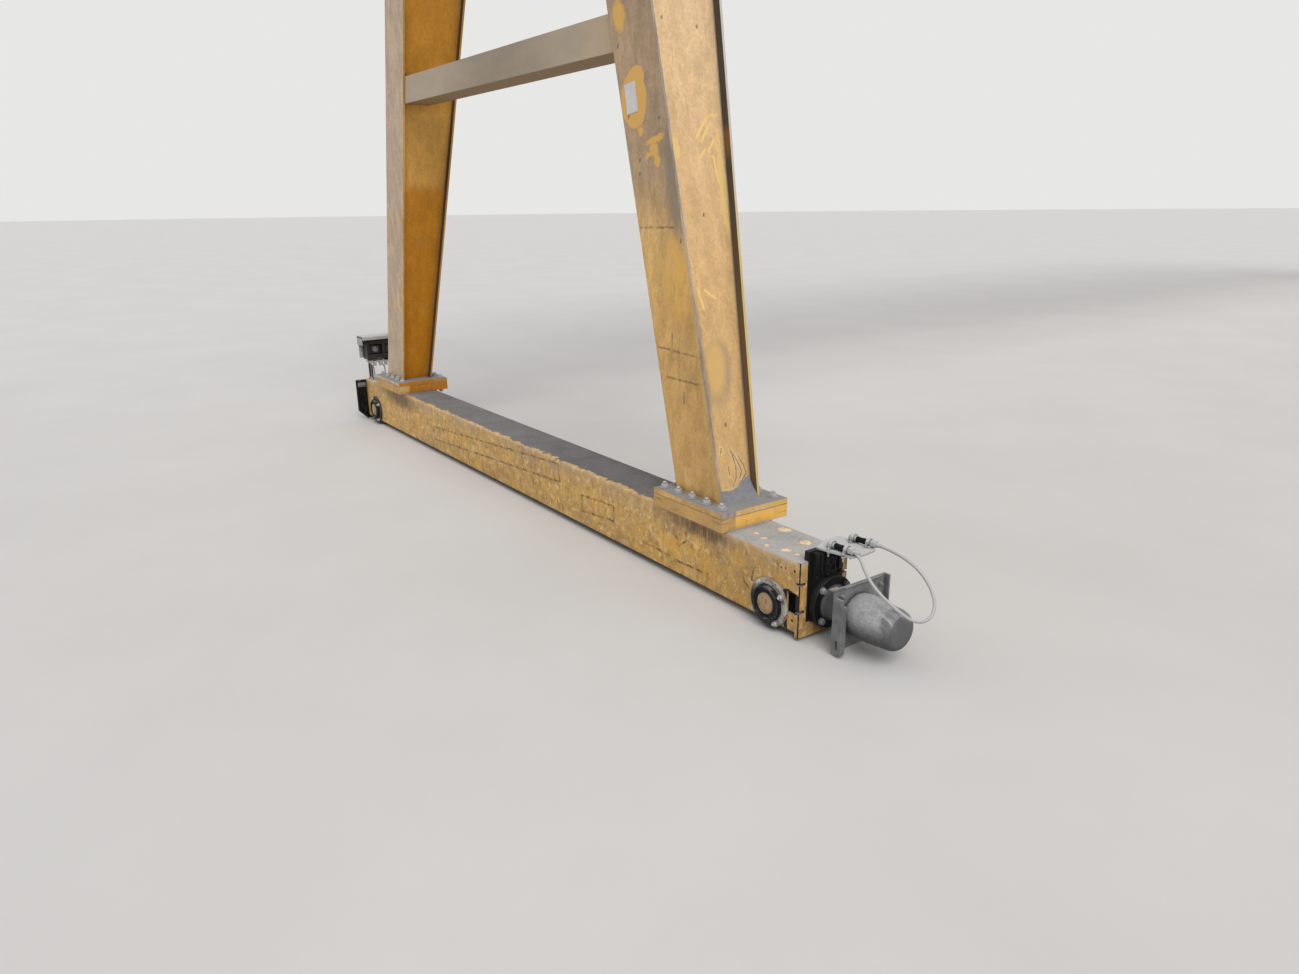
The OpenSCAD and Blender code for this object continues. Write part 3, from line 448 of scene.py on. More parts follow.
def beam_paint():
    """Sole beam: worn ochre, streaked and scratched, dust on top, dark joints at its driven end with painted
    shade for an opening there, and painted shade in its hollows and under the foot flanges.
    """
    s = Shader("beam_paint")
    s.colour = s.blend(s.cloud(3.4, 6, 0.68, 0.40, 0.60, warp=0.6), YELLOW_WORN, YELLOW)
    s.layers((
        ((9, 9, 13), 0.50, 0.60, 0.60, (0.36, 0.225, 0.10), 15),
        ((24, 24, 20), 0.53, 0.60, 0.55, (0.28, 0.16, 0.055), 21),
        ((30, 30, 26), 0.54, 0.61, 0.65, (0.86, 0.57, 0.25), 23),
        ((6, 6, 7), 0.54, 0.64, 0.50, (0.66, 0.36, 0.06), 11),
        ((8, 8, 10), 0.55, 0.66, 0.60, (0.66, 0.46, 0.22), 12),
        ((4, 4, 5), 0.56, 0.70, 0.45, BROWN_STAIN, 1),
        ((40, 40, 6), 0.50, 0.66, 0.40, YELLOW_PALE, 0),
        ((20, 20, 4), 0.56, 0.70, 0.45, TAN_DUST, 4),
        ((36, 36, 22), 0.60, 0.66, 0.60, CREAM, 2),
        ((44, 44, 16), 0.61, 0.68, 0.70, BROWN_STAIN, 7),
        ((9, 9, 46), 0.63, 0.70, 0.50, GRIME_AND_SHADE, 5),
        ((80, 80, 60), 0.65, 0.71, 0.65, GRIME_AND_SHADE, 9),
    ))
    s.coat(BROWN_STAIN, s.rise(s.x, 1.62, 1.72) * 0.18)
    s.shade(s.rise(s.x, -0.9, -1.5, 1.08, 1.22))
    s.shade(s.rise(s.x, 0.4, 1.0, 1.0, 1.04) * s.rise(s.z, 0.06, 0.18, 0.92, 1.0))
    film = s.rise(s.z, 0.20, 0.32) * s.cloud((8, 8, 16), 5, 0.7, 0.38, 0.58)
    s.coat((0.42, 0.33, 0.24), film * 0.45)
    # Shade and drips under the foot flanges
    under = s.spots((((1860, 258), (190, 36)), ((-1640, 252), (270, 62))), soft=0.6, wobble=60)
    drips = s.cloud((26, 26, 3), 5, 0.7, 0.36, 0.54, shift=(2, 2, 2))
    drips = s.most(drips, s.rise(s.x, -1.4, -1.7, 0.0, 0.8))
    s.coat((0.13, 0.08, 0.04), under * drips * 0.85)
    lines = s.strokes(BEAM_LINES, 9, wobble=19, fade=0.36) * s.front
    s.coat((0.085, 0.055, 0.03), lines * 0.9)
    s.coat(YELLOW_PALE, s.strokes(BEAM_SCRAPES, 7) * s.front * 0.8)
    # The upper edge, scraped to cream, and the dust on top
    near_end = s.rise(s.x, 1.60, 1.85)
    ragged = s.jitter(0.07, (30, 30, 12), 6, 0.75)
    height = s.z + ragged * s.rise(near_end, 0.0, 1.0, 0.5, 1.0)
    scraped = s.rise(height, 0.300, 0.318) * s.front
    s.coat(CREAM, scraped * s.rise(near_end, 0.0, 1.0, 0.15, 0.45))
    creep = s.depth + s.jitter(120, 11, 6, 0.72, 0.5, (6, 6, 6))
    settled = s.most(s.rise(creep, 14, 22), near_end)
    dusty = s.most(s.on_top, s.rise(height, 0.322, 0.329) * 0.9) * settled
    dust = s.blend(s.most(near_end, s.rise(s.x, -1.95, -2.15)), DARK_DUST, PALE_DUST)
    dust = s.tint(dust, s.cloud(7, 6, 0.65, 0.2, 0.8, 0.82, 1.18))
    dust = s.tint(dust, s.rise(s.x, 0.5, -0.4, 1.0, 1.22))
    dust = s.tint(dust, s.cloud(120, 3, 0.7, 0.3, 0.7, 0.88, 1.12))
    chips = [s.distance((s.u, x), (s.depth, y)) - radius for x, y, radius in BEAM_CHIPS]
    nearest = s.nearest(chips) + s.jitter(70, 34, 6, 0.8)
    dust = s.blend(s.rise(nearest, 9, 1) * 0.55, dust, (0.40, 0.27, 0.14))
    chip_tone = s.blend(s.cloud(45, 4, 0.7, 0.42, 0.58), (0.80, 0.66, 0.48), (0.62, 0.47, 0.30))
    dust = s.blend(s.rise(nearest, 0, -3), dust, chip_tone)
    dust = s.blend(s.cloud(70, 3, 0.6, 0.66, 0.70, shift=(3, 3, 3)) * 0.6, dust, GRIME_AND_SHADE)
    s.coat(dust, dusty)
    s.coat(BARE_STEEL, s.worn(0.006, 40, 0.46, 0.60) * s.rise(s.x, 1.0, 1.7, 0.15, 0.8))
    # Black joints round the driven end, and painted shade for an opening and a gap beside the bearing
    at_end = s.rise(s.x, FRAME_END - 0.012, FRAME_END - 0.006) * (1.0 - s.on_top)
    s.coat(NEAR_BLACK, at_end * s.edges(0.005))
    corner = s.rise(s.x, FRAME_END - 0.009, FRAME_END - 0.006) * s.front
    opening_shade = s.rise(s.away((BEAM_OPENING_SHADE,), wobble=20), 48, 43)
    opening_shade = s.most(opening_shade, s.rise(s.away((BEAM_GAP,), wobble=20), 12, 7))
    s.coat(NEAR_BLACK, s.most(opening_shade * s.front * s.on_a, corner))
    # Painted shade in the hollows
    s.coat(GRIME_AND_SHADE, s.hollows(0.06) * 0.75)
    relief = s.noise(160, 3, 0.6) * 0.35 + (1.0 - lines) * 0.6
    return s.finish(dusty * 0.38 + 0.52, 0.0, relief, 0.0008, gloss=0.25)


def leg_paint():
    """Legs: dusty yellow plates; the far leg's web clean deep orange, darkened by painted shade and crossed
    by a painted light patch; painted shade in the recess beside the back plate.
    """
    s = Shader("leg_paint")
    far = s.rise(s.x, 0.2, -0.2)
    near = 1.0 - far
    sideways = s.rise(abs(s.nx), 0.55, 0.75)
    back_line = s.depth - (s.w - FOOT_TOP) * ((LEG_TOP_D - LEG_FOOT_D) / LEG_H)
    aside = s.u + (s.w - FOOT_TOP) * LEAN - LEG_FOOT_X
    front = s.blend(s.rise(s.z, 0.9, 1.5), (0.69, 0.42, 0.155), (0.77, 0.475, 0.18))
    front = s.blend(s.rise(s.z, 1.35, 1.85), front, (0.47, 0.335, 0.21))
    front = s.tint(front, s.rise(aside, -150, 150, 1.08, 0.92) * s.rise(s.z, 0.9, 1.5, 0.96, 1.0))
    front = s.blend(far, front, (0.60, 0.465, 0.335))
    patchy = s.cloud(3.0, 5, 0.62, 0.45, 0.75, warp=0.4) * s.rise(s.z, 2.0, 1.4) * 0.5
    front = s.blend(patchy, front, (0.70, 0.43, 0.15))
    web = s.blend(s.rise(s.z, 0.8, 2.8), (0.66, 0.42, 0.185), (0.76, 0.53, 0.31))
    # The far leg's web: clean deep orange paint, darkened as painted shade
    far_web_shade_and_light = s.blend(s.rise(s.z, 0.5, 2.8), (0.49, 0.19, 0.010), (0.55, 0.25, 0.03))
    # A painted light patch across the far web, about 1.75 to 2.25 m up
    painted_light_patch = s.rise(s.z, 1.70, 1.80) * s.rise(s.z, 2.30, 2.20)
    far_web_shade_and_light = s.blend(painted_light_patch * 0.9, far_web_shade_and_light, (0.66, 0.36, 0.085))
    s.colour = s.blend(sideways, front, s.blend(far, web, far_web_shade_and_light))
    s.shade(s.cloud((9, 9, 6), 6, 0.68, 0.30, 0.75, 0.90, 1.09))
    s.shade(s.cloud((80, 80, 60), 4, 0.75, 0.3, 0.7, 0.90, 1.10))
    blotches = s.noise((20, 20, 8), 6, 0.72, 0.4, (5, 2, 8))
    s.shade(s.rise(blotches, 0.36, 0.62, 1.07, s.rise(sideways, 0, 1, 0.84, 0.93)))
    s.layers((
        ((26, 26, 3.0), 0.55, 0.72, 0.30, TAN_DUST, 3),
        ((60, 60, 24), 0.67, 0.72, 0.55, BROWN_STAIN, 6),
        ((6, 6, 40), 0.68, 0.74, 0.45, GREY_DUST, 8),
    ))
    # Patches on the front plate, and a grey band down its outer edge
    fronts = s.front * s.rise(s.depth, 46, 42)
    plate = (((1350, 2016), (92, 112)), ((1360, 2096), (66, 48)))
    yellow = s.spots(plate, lean=-LEAN, soft=0.05, wobble=36)
    yellow = s.most(yellow, s.spots(LEG_YELLOW, lean=-LEAN, soft=0.3, wobble=60))
    torn = s.spots((((1660, 1290), (88, 165)),), lean=-LEAN, soft=0.5, wobble=90)
    torn = torn * s.cloud((24, 24, 9), 6, 0.75, 0.36, 0.54, warp=0.4, shift=(4, 4, 4))
    s.coat((0.80, 0.46, 0.12), s.most(yellow, torn) * fronts * 0.9)
    grey_edge_band = (((LEG_FOOT_X - LEAN * 1270 + 132, 1652), (46, 200)),)
    s.coat((0.24, 0.205, 0.17), s.spots(grey_edge_band, lean=-LEAN, soft=0.5, wobble=60) * fronts * 0.65)
    # Scrapes, patches and scratches on the web
    webs = sideways * near * s.rise(s.depth, 50, 54)
    scrape = s.strokes(WEB_SCRAPES, 10, "v", 26, 0.26) * webs
    patch = s.spots((((98, 1820), (20, 46)), ((325, 1640), (22, 190))), "v", 0.0, 0.3, 36)
    s.coat((0.86, 0.60, 0.21), s.most(scrape, patch * webs * 0.7))
    for place, lean, soft, wobble, amount, tone in (
        (((158, 915), (74, 142)), 0.18, 0.25, 26, 0.5, (0.30, 0.235, 0.17)),
        (((145, 930), (52, 108)), 0.18, 0.35, 26, 0.8, (0.70, 0.44, 0.155)),
        (((72, 950), (26, 330)), 0.0, 0.4, 36, 0.6, (0.27, 0.22, 0.18)),
    ):
        s.coat(tone, s.spots((place,), "v", lean, soft, wobble) * webs * amount)
    scratched = s.away(WEB_LINES, "v", 20)
    near_a = webs * s.on_a
    pale = s.most(s.rise(scratched, 12, 5), s.rise(s.away((HEAP_EDGE,), "v", 20), 8, 2))
    s.coat((0.80, 0.60, 0.34), pale * s.cloud(34, 5, 0.75, 0.36, 0.60) * near_a * 0.5)
    lines = s.rise(scratched, 4.5, 1) * near_a * s.cloud(30, 5, 0.75, 0.30, 0.52, 0.35, 1.0)
    lines = s.most(lines, s.strokes(LEG_LINES, 8, "u", 17, 0.34) * fronts)
    for dots, side, mask in ((LEG_DOTS, "u", fronts), (WEB_DOTS, "v", webs)):
        rows = [(dot, (6, 9)) for dot in dots]
        lines = s.most(lines, s.spots(rows, side, 0.3, 0.5, 20) * mask)
    s.coat((0.14, 0.11, 0.09), lines * 0.75)
    # Edges of the plates, and painted shade in the recess behind the front plate
    plate_edge = sideways * s.rise(s.depth, 54, 50)
    edge_grey = s.tint((0.30, 0.27, 0.25), s.cloud((30, 30, 5), 4, 0.6, 0.3, 0.7, 0.6, 1.3))
    s.coat(edge_grey, plate_edge * near * 0.9)
    edge_pale = s.blend(s.rise(s.z, 1.3, 1.9), (0.66, 0.45, 0.12), (0.56, 0.52, 0.45))
    back_edge = sideways * s.rise(back_line, 244, 247)
    s.coat(s.blend(far, edge_pale, (0.50, 0.24, 0.04)), back_edge)
    rusty = s.spots((((250, 1850), (400, 60)),), "v", 0.0, 0.5, 36)
    # Painted shade in the recess, rusty in a band high up and darker still on the far leg
    inner = s.blend(s.rise(s.z, 0.9, 1.8), (0.125, 0.09, 0.06), (0.062, 0.055, 0.05))
    inner = s.blend(rusty, inner, (0.20, 0.095, 0.03))
    recess = s.front * s.rise(s.depth, 70, 90)
    s.coat(s.blend(far, inner, (0.06, 0.035, 0.015)), recess * 0.95)
    s.coat((0.20, 0.195, 0.20), s.worn(0.005, (14, 14, 5), 0.40, 0.54, 4) * 0.75)
    s.coat(GREY_DUST, s.on_top)
    # Painted shade in the hollows
    s.coat(GRIME_AND_SHADE, s.hollows(0.04) * 0.5)
    relief = s.noise(120, 3, 0.6) * 0.3 + (1.0 - lines) * 0.5
    return s.finish(s.on_top * 0.3 + 0.60, 0.0, relief, 0.0008, gloss=0.15)


def flange_paint():
    """Foot flanges: tan outer sides, bright orange on their ends, grey dust on top."""
    s = Shader("flange_paint")
    s.colour = s.blend(s.cloud(7, 5, 0.65, 0.35, 0.65), (0.62, 0.385, 0.13), (0.52, 0.31, 0.12))
    bright = s.blend(s.rise(s.x, 0.2, -0.2), (0.86, 0.49, 0.12), (0.47, 0.17, 0.012))
    s.coat(bright, s.rise(s.nx, 0.6, 0.8) * s.rise(s.depth, 46, 50))
    s.layers((
        ((40, 40, 8), 0.52, 0.68, 0.45, TAN_DUST, 0),
        ((12, 12, 70), 0.58, 0.66, 0.60, BROWN_STAIN, 3),
        ((60, 60, 40), 0.62, 0.68, 0.55, CREAM, 5),
    ))
    # The joint between the two plates
    joint = s.rise(abs(s.w + s.jitter(6, 20, 3, 0.6) - 358), 4.0, 1.5)
    joint = joint * s.rise(abs(s.nz), 0.5, 0.3) * s.cloud(16, 4, 0.7, 0.30, 0.45)
    s.coat(GRIME_AND_SHADE, joint * 0.85)
    s.coat(GREY_DUST, s.worn(0.006, 30, 0.42, 0.56) * 0.8)
    top = s.tint((0.25, 0.25, 0.265), s.cloud(24, 5, 0.65, 0.25, 0.75, 0.75, 1.25))
    s.coat(top, s.on_top)
    # Painted shade in the hollows
    s.coat(GRIME_AND_SHADE, s.hollows(0.04) * 0.7)
    return s.finish(0.6, 0.0, s.noise(140, 3, 0.6), 0.0006, gloss=0.2)


def bearing_paint():
    """Bearings: black boss inside a pale, rust-spotted flange."""
    s = Shader("bearing_grey")
    across = s.nearest([abs(s.u - x) for x in WHEEL_X])
    s.colour = s.blend(s.cloud(18, 4, 0.6, 0.40, 0.60), (0.24, 0.21, 0.17), (0.45, 0.435, 0.41))
    s.coat(RUST, s.cloud(48, 4, 0.65, 0.56, 0.62, shift=(1, 2, 3)))
    # Darker towards the lower left of the driven end's flange, and over the whole far flange
    toward_upper_right = (s.u - WHEEL_X[0]) * 0.7 + (s.w - AXLE_Z)
    s.coat((0.05, 0.045, 0.04), s.rise(toward_upper_right, 15, -50))
    s.coat(NEAR_BLACK, s.rise(s.distance((across, 0), (s.w, AXLE_Z)), 80, 76))
    shine = s.rise(s.nz, 0.2, 0.9) * s.cloud(30, 4, 0.6, 0.4, 0.6)
    s.coat(GREY_DUST, shine * 0.5)
    s.coat(BARE_STEEL, s.worn(0.003, 50, 0.45, 0.6) * 0.5)
    return s.finish(0.6, 0.1, s.noise(150, 3, 0.6), 0.0006, gloss=0.2)


def motor_skin():
    """Motor shell: dark grey under pale dust, thickest on top, its darker underside partly painted shade,
    with a darker, streaked end cover.
    """
    s = Shader("motor_skin")
    # Pale dust towards the top; the dark underneath is partly the shell's own grey and partly painted shade
    film = s.cloud(14, 6, 0.7, 0.28, 0.72) * 0.35 + 0.65
    s.colour = s.blend(film * s.rise(s.nz, -0.55, 0.55), (0.085, 0.085, 0.09), (0.43, 0.43, 0.435))
    s.shade(s.cloud(90, 3, 0.65, 0.3, 0.7, 0.85, 1.15))
    cover = s.rise(s.u, 2782, 2806) * s.rise(s.u, 2842, 2838)
    streaks = s.cloud((5, 60, 5), 4, 0.6, 0.35, 0.60, warp=0.3)
    s.coat((0.075, 0.075, 0.08), cover * streaks * 0.7)
    s.coat((0.075, 0.075, 0.08), s.rise(s.nx, 0.75, 0.9) * 0.7)
    return s.finish(0.7, 0.1, s.noise(160, 3, 0.6), 0.0006, gloss=0.3)


def tie_paint():
    """Tie beams: dusty brown-grey, darker in the middle, yellower at the driven leg."""
    s = Shader("tie_paint")
    s.colour = s.blend(s.cloud((4, 4, 9), 5, 0.65, 0.3, 0.7), (0.40, 0.325, 0.245), (0.46, 0.37, 0.27))
    s.shade(s.rise(abs(s.x + 0.12), 0.1, 0.95, 0.78, 1.08))
    s.coat((0.56, 0.37, 0.17), s.rise(s.x, 0.6, 1.0) * 0.35)
    s.coat((0.24, 0.15, 0.06), s.rise(s.nz, -0.5, -0.8))
    s.coat(GREY_DUST, s.rise(s.nz, 0.5, 0.8))
    s.coat(GREY_DUST, s.worn(0.006, 20, 0.45, 0.6) * 0.5)
    return s.finish(0.75, 0.0, s.noise(140, 3, 0.6), 0.0006)


def girder_paint():
    """Girders, end ties and trolley: dusty yellow, streaked and rusty at edges, with steel rails."""
    s = Shader("girder_paint")
    s.colour = s.blend(s.cloud(1.4, 6, 0.65, 0.35, 0.65), (0.52, 0.335, 0.135), (0.60, 0.385, 0.125))
    s.layers((
        ((3, 3, 0.5), 0.50, 0.68, 0.40, TAN_DUST, 1),
        ((14, 14, 0.9), 0.52, 0.70, 0.45, (0.34, 0.24, 0.15), 2),
        ((7, 7, 7), 0.58, 0.66, 0.35, YELLOW_PALE, 3),
        ((30, 30, 18), 0.66, 0.70, 0.70, RUST, 4),
    ))
    s.shade(s.cloud(40, 4, 0.7, 0.3, 0.7, 0.92, 1.08))
    dust = s.tint(GREY_DUST, s.cloud(2.4, 6, 0.7, 0.3, 0.7, 0.75, 1.15))
    settled = s.cloud((2.2, 0.9, 2.2), 6, 0.72, 0.36, 0.60, 0.45, 0.95, 0.3, (3, 7, 1))
    s.coat(dust, s.on_top * settled)
    rubbed = s.worn(0.008, 16, 0.50, 0.62, 4, 0.7)
    s.coat(s.blend(s.cloud(9, 3, 0.55, 0.45, 0.55), BARE_STEEL, RUST), rubbed * 0.8)
    # Painted shade in the hollows
    s.coat(GRIME_AND_SHADE, s.hollows(0.10) * 0.6)
    # Rusty rail with a bright tread
    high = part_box("drive_side_girder")[1]
    foot, end = high.z - GIRDER_TOP_BACK * MM, high.y - RAIL_END_BACK * MM
    head = foot + (RAIL_H + 1) * MM
    off = abs(abs(s.x - MID_X) - LEG_TOP_X * MM)
    rail = s.rise(s.z, foot + 0.001, foot + 0.003) * s.rise(s.z, head + 0.004, head)
    rail = rail * s.rise(abs(s.y), end, end - 0.004) * s.rise(off, 0.030, 0.027)
    tread = rail * s.rise(s.nz, 0.4, 0.7) * s.rise(off, 0.021, 0.016)
    s.coat(s.tint((0.17, 0.105, 0.07), s.cloud(30, 4, 0.7, 0.3, 0.7, 0.7, 1.3)), rail)
    s.coat((0.46, 0.45, 0.44), tread)
    return s.finish(s.rise(tread, 0, 1, 0.58, 0.30), tread * 0.8, s.noise(90, 3, 0.6), 0.0007)


def steel(name, colour, rough, metal=0.75):
    """Steel with painted shade in its hollows and brighter rubbed edges."""
    s = Shader(name)
    s.colour = s.tint(colour, s.cloud(22, 5, 0.65, 0.25, 0.75, 0.8, 1.18))
    s.coat(tuple(min(1, c * 1.7 + 0.05) for c in colour), s.edges(0.003) * 0.6)
    # Painted shade in the hollows
    s.coat(GRIME_AND_SHADE, s.hollows(0.02) * 0.4)
    fine = s.noise(220, 3, 0.6)
    return s.finish(s.rise(fine, 0.3, 0.7, rough - 0.08, rough + 0.1), metal, fine, 0.0004)


def dusty(name, colour, dust, cover=0.6, rough=0.7, upward=True, gloss=0.4, rub=BARE_STEEL, neck=None):
    """A dull part under dust, thicker on what faces up, with painted shade in its hollows; neck is the colour
    beyond the gear's flange.
    """
    s = Shader(name, colour)
    if neck:
        s.coat(neck, s.rise(s.u, GEAR_FLANGE_X + 2, GEAR_FLANGE_X + 4))
    amount = s.cloud(9, 6, 0.68, 0.30, 0.70) * cover
    if upward:
        amount = s.most(amount, s.rise(s.nz, 0.05, 0.75, 0.0, min(1.0, cover + 0.35)))
    s.coat(dust, amount)
    s.coat(rub, s.worn(0.002, 60, 0.45, 0.6) * 0.5)
    # Painted shade in the hollows
    s.coat(NEAR_BLACK, s.hollows(0.02) * 0.6)
    return s.finish(amount * 0.3 + (rough - 0.2), 0.0, s.noise(180, 3, 0.6), 0.0005, gloss)


def rope_steel():
    s = Shader("rope_steel")
    lay = s.field(
        "TexWave", {"Scale": 28, "Distortion": 0.3, "Vector": s.place}, 1,
        wave_type="BANDS", bands_direction="DIAGONAL",
    )
    s.colour = s.tint((0.24, 0.225, 0.21), s.rise(lay, 0.0, 1.0, 0.45, 1.15))
    return s.finish(0.5, 0.6, lay, 0.002)


def hub_tan():
    """Axle end: tan paint with a dark rim and worn steel, and painted shade in its hollows."""
    s = Shader("hub_tan")
    s.colour = s.blend(s.cloud(30, 5, 0.65, 0.35, 0.65), (0.34, 0.22, 0.10), (0.42, 0.30, 0.17))
    s.coat(RUST, s.cloud(55, 4, 0.65, 0.56, 0.64, shift=(4, 1, 2)) * 0.7)
    # Painted shade in the hollows
    s.coat(GRIME_AND_SHADE, s.hollows(0.02) * 0.8)
    return s.finish(0.55, 0.1, s.noise(160, 3, 0.6), 0.0006)


def heap_dust():
    s = Shader("heap_dust", (0.225, 0.225, 0.245))
    s.shade(s.cloud(60, 5, 0.7, 0.25, 0.75, 0.85, 1.15))
    return s.finish(0.95, 0.0, s.noise(90, 5, 0.7), 0.004)


def plate_white():
    s = Shader("plate_white", (0.66, 0.655, 0.64))
    s.shade(s.cloud(30, 4, 0.6, 0.25, 0.75, 0.92, 1.05))
    s.coat(GREY_DUST, s.edges(0.004) * 0.4)
    return s.finish(0.5, 0.0, s.noise(120, 3, 0.6), 0.0003)


def grey(value, blue=None):
    return (value, value, value if blue is None else blue)


MATERIALS = {
    "beam_paint": beam_paint(),
    "leg_paint": leg_paint(),
    "flange_paint": flange_paint(),
    "tie_paint": tie_paint(),
    "girder_paint": girder_paint(),
    "wheel_steel": steel("wheel_steel", (0.14, 0.13, 0.12), 0.5, 0.7),
    "bearing_grey": bearing_paint(),
    "gear_black": dusty(
        "gear_black", grey(0.006, 0.007), grey(0.035), 0.1, gloss=0.2, rub=grey(0.05), neck=grey(0.11, 0.112),
    ),
    "zinc": dusty("zinc", grey(0.34, 0.345), grey(0.50)),
    "motor_grey": dusty("motor_grey", grey(0.10, 0.105), grey(0.37, 0.38), 0.5),
    "cable_grey": dusty("cable_grey", grey(0.34), (0.47, 0.465, 0.46), 0.5, 0.6),
    "rubber_black": dusty("rubber_black", grey(0.005), grey(0.02), 0.2, 0.8, False, 0.1),
    "sensor_black": dusty("sensor_black", NEAR_BLACK, grey(0.10), 0.25, 0.6),
    "drum_steel": steel("drum_steel", (0.26, 0.25, 0.24), 0.45, 0.7),
    "rope_steel": rope_steel(),
    "hook_steel": steel("hook_steel", (0.09, 0.085, 0.08), 0.55, 0.6),
}
HUB = hub_tan()
MOTOR_SKIN = motor_skin()
BRACKET = dusty("bracket_steel", grey(0.10, 0.103), grey(0.265), 0.75, rub=grey(0.34))
PALE_METAL = dusty("pale_metal", grey(0.33, 0.325), grey(0.49, 0.48), 0.7)
DUST = heap_dust()
WHITE_PLATE = plate_white()


def dress_frame():
    """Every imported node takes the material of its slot."""
    for part in frame["record"]["subparts"]:
        obj = frame["nodes"][part["node"]]
        obj.data.materials.clear()
        bracket = part["node"].startswith("motor_bracket")
        obj.data.materials.append(BRACKET if bracket else MATERIALS[part["material_slot"]])


def make_floor():
    s = Shader("floor", (0.60, 0.585, 0.57))
    s.shade(s.cloud(0.9, 5, 0.6, 0.2, 0.8, 0.97, 1.03))
    mesh = bpy.data.meshes.new("floor")
    bm = bmesh.new()
    bmesh.ops.create_circle(bm, cap_ends=True, radius=160, segments=64)
    bm.to_mesh(mesh)
    bm.free()
    mesh.materials.append(s.finish(0.85))
    link("floor", mesh)


def at(side, x, y, z):
    """The row place of a point given in millimetres in leg frame a or b."""
    out = OUTER_Y + y * MM
    return Vector((MID_X + x * MM, out if side == "a" else -out, GROUND_GAP + z * MM))


def circle(middle, across, other, radius, sides, turn=0.0):
    """Points round a middle, in the plane of two ways."""
    angles = [turn + 2 * math.pi * k / sides for k in range(sides)]
    return [middle + (across * math.cos(a) + other * math.sin(a)) * radius for a in angles]


class Piece:
    """A mesh put together from small solids, in a leg frame's or the row's millimetres."""

    def __init__(self, name, slot, side=""):
        self.name = f"{name}_{side}" if side else name
        self.slot, self.side = slot, side
        self.bm = bmesh.new()

    def place(self, point):
        return at(self.side, *point) if self.side else Vector(point) * MM

    def skin(self, rings):
        """Joins rings of points into one skin, closed at both ends."""
        rows = [[self.bm.verts.new(self.place(p)) for p in ring] for ring in rings]
        count = len(rows[0])
        for low, high in zip(rows, rows[1:]):
            for k in range(count):
                n = (k + 1) % count
                self.bm.faces.new((low[k], low[n], high[n], high[k]))
        self.bm.faces.new(rows[0])
        self.bm.faces.new(rows[-1])

    def lathe(self, foot, way, profile, sides=20, turn=0.0):
        """A body of revolution from pairs of height along way and radius."""
        way, foot = Vector(way).normalized(), Vector(foot)
        across = way.orthogonal().normalized()
        other = way.cross(across)
        self.skin([
            circle(foot + way * height, across, other, radius, sides, turn)
            for height, radius in profile
        ])

    def block(self, low, high, chamfer=1.5):
        """A box between two corners, its edges rounded off."""
        made = bmesh.ops.create_cube(self.bm, size=1)["verts"]
        for vert in made:
            vert.co = self.place([low[i] if vert.co[i] < 0 else high[i] for i in range(3)])
        edges = list({edge for vert in made for edge in vert.link_edges})
        bmesh.ops.bevel(
            self.bm, geom=edges, offset=chamfer * MM, segments=2, affect="EDGES", profile=0.6
        )

    def bolt(self, foot, way, across=30, height=16, stud=9, washer=True):
        """A hexagon nut or head on a washer, with a stud's end above it."""
        way, foot = Vector(way).normalized(), Vector(foot)
        turn = random.uniform(0, math.pi / 3)
        radius, flat = across / math.sqrt(3), across / 2
        if washer:
            self.lathe(foot, way, [(0, radius * 1.22), (3, radius * 1.22)])
            foot = foot + way * 3
        self.lathe(foot, way, [(0, radius), (height - 3, radius), (height, flat)], 6, turn)
        if stud:
            pitch = [(h, flat * (0.62 if h % 2 else 0.55)) for h in range(int(stud))]
            self.lathe(foot + way * height, way, [*pitch, (stud + 1, flat * 0.46)], 12)

    def tube(self, points, radius, sides=8):
        """A bar along points; radius is one number, or one for each point."""
        points = [Vector(p) for p in points]
        sizes = radius if isinstance(radius, list) else [radius] * len(points)
        rings, across = [], None
        for i, point in enumerate(points):
            way = (points[min(i + 1, len(points) - 1)] - points[max(i - 1, 0)]).normalized()
            if across is None:
                across = way.orthogonal()
            across = (across - way * across.dot(way)).normalized()
            rings.append(circle(point, across, way.cross(across), sizes[i], sides))
        self.skin(rings)

    def bead(self, start, end, radius=4.0, step=14):
        """A weld bead between two points, with the ripple of its passes."""
        start, end = Vector(start), Vector(end)
        count = max(4, int((end - start).length / step))
        points = [start.lerp(end, i / count) for i in range(count + 1)]
        self.tube(points, [radius * random.uniform(0.8, 1.15) for _ in points], 6)

    def finish(self, material=None, smooth=38):
        bmesh.ops.recalc_face_normals(self.bm, faces=self.bm.faces)
        mesh = bpy.data.meshes.new(self.name)
        self.bm.to_mesh(mesh)
        self.bm.free()
        mesh.shade_smooth()
        mesh.set_sharp_from_angle(angle=math.radians(smooth))
        mesh.materials.append(material or MATERIALS[self.slot])
        obj = link(self.name, mesh)
        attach(obj, "crane")
        return obj


def leg_x(z, offset=0.0):
    """x of a leg's middle line at height z, moved outwards by offset."""
    return LEG_FOOT_X - LEAN * (z - FOOT_TOP) + offset


def round_points(count, radius, first=45):
    """Pairs of offsets, evenly round a circle from an angle in degrees."""
    turns = [math.radians(first + 360 * k / count) for k in range(count)]
    return [(radius * math.cos(a), radius * math.sin(a)) for a in turns]


def flange_bolts(side):
    """Studs and nuts along both long edges of the foot flanges."""
    piece = Piece("flange_bolts", "zinc", side)
    for s, i, y in product((-1, 1), range(5), (FLANGE_BACK, 303)):
        x = s * (LEG_FOOT_X - 207 + 99 * i)
        tilt = (random.uniform(-0.03, 0.03), random.uniform(-0.03, 0.03), 1)
        piece.bolt((x, y, FOOT_TOP), tilt, 30, 15, 9)
        if y > BEAM_W:
            piece.bolt((x, y, BEAM_H), (0, 0, -1), 30, 13, 4)
    piece.finish()


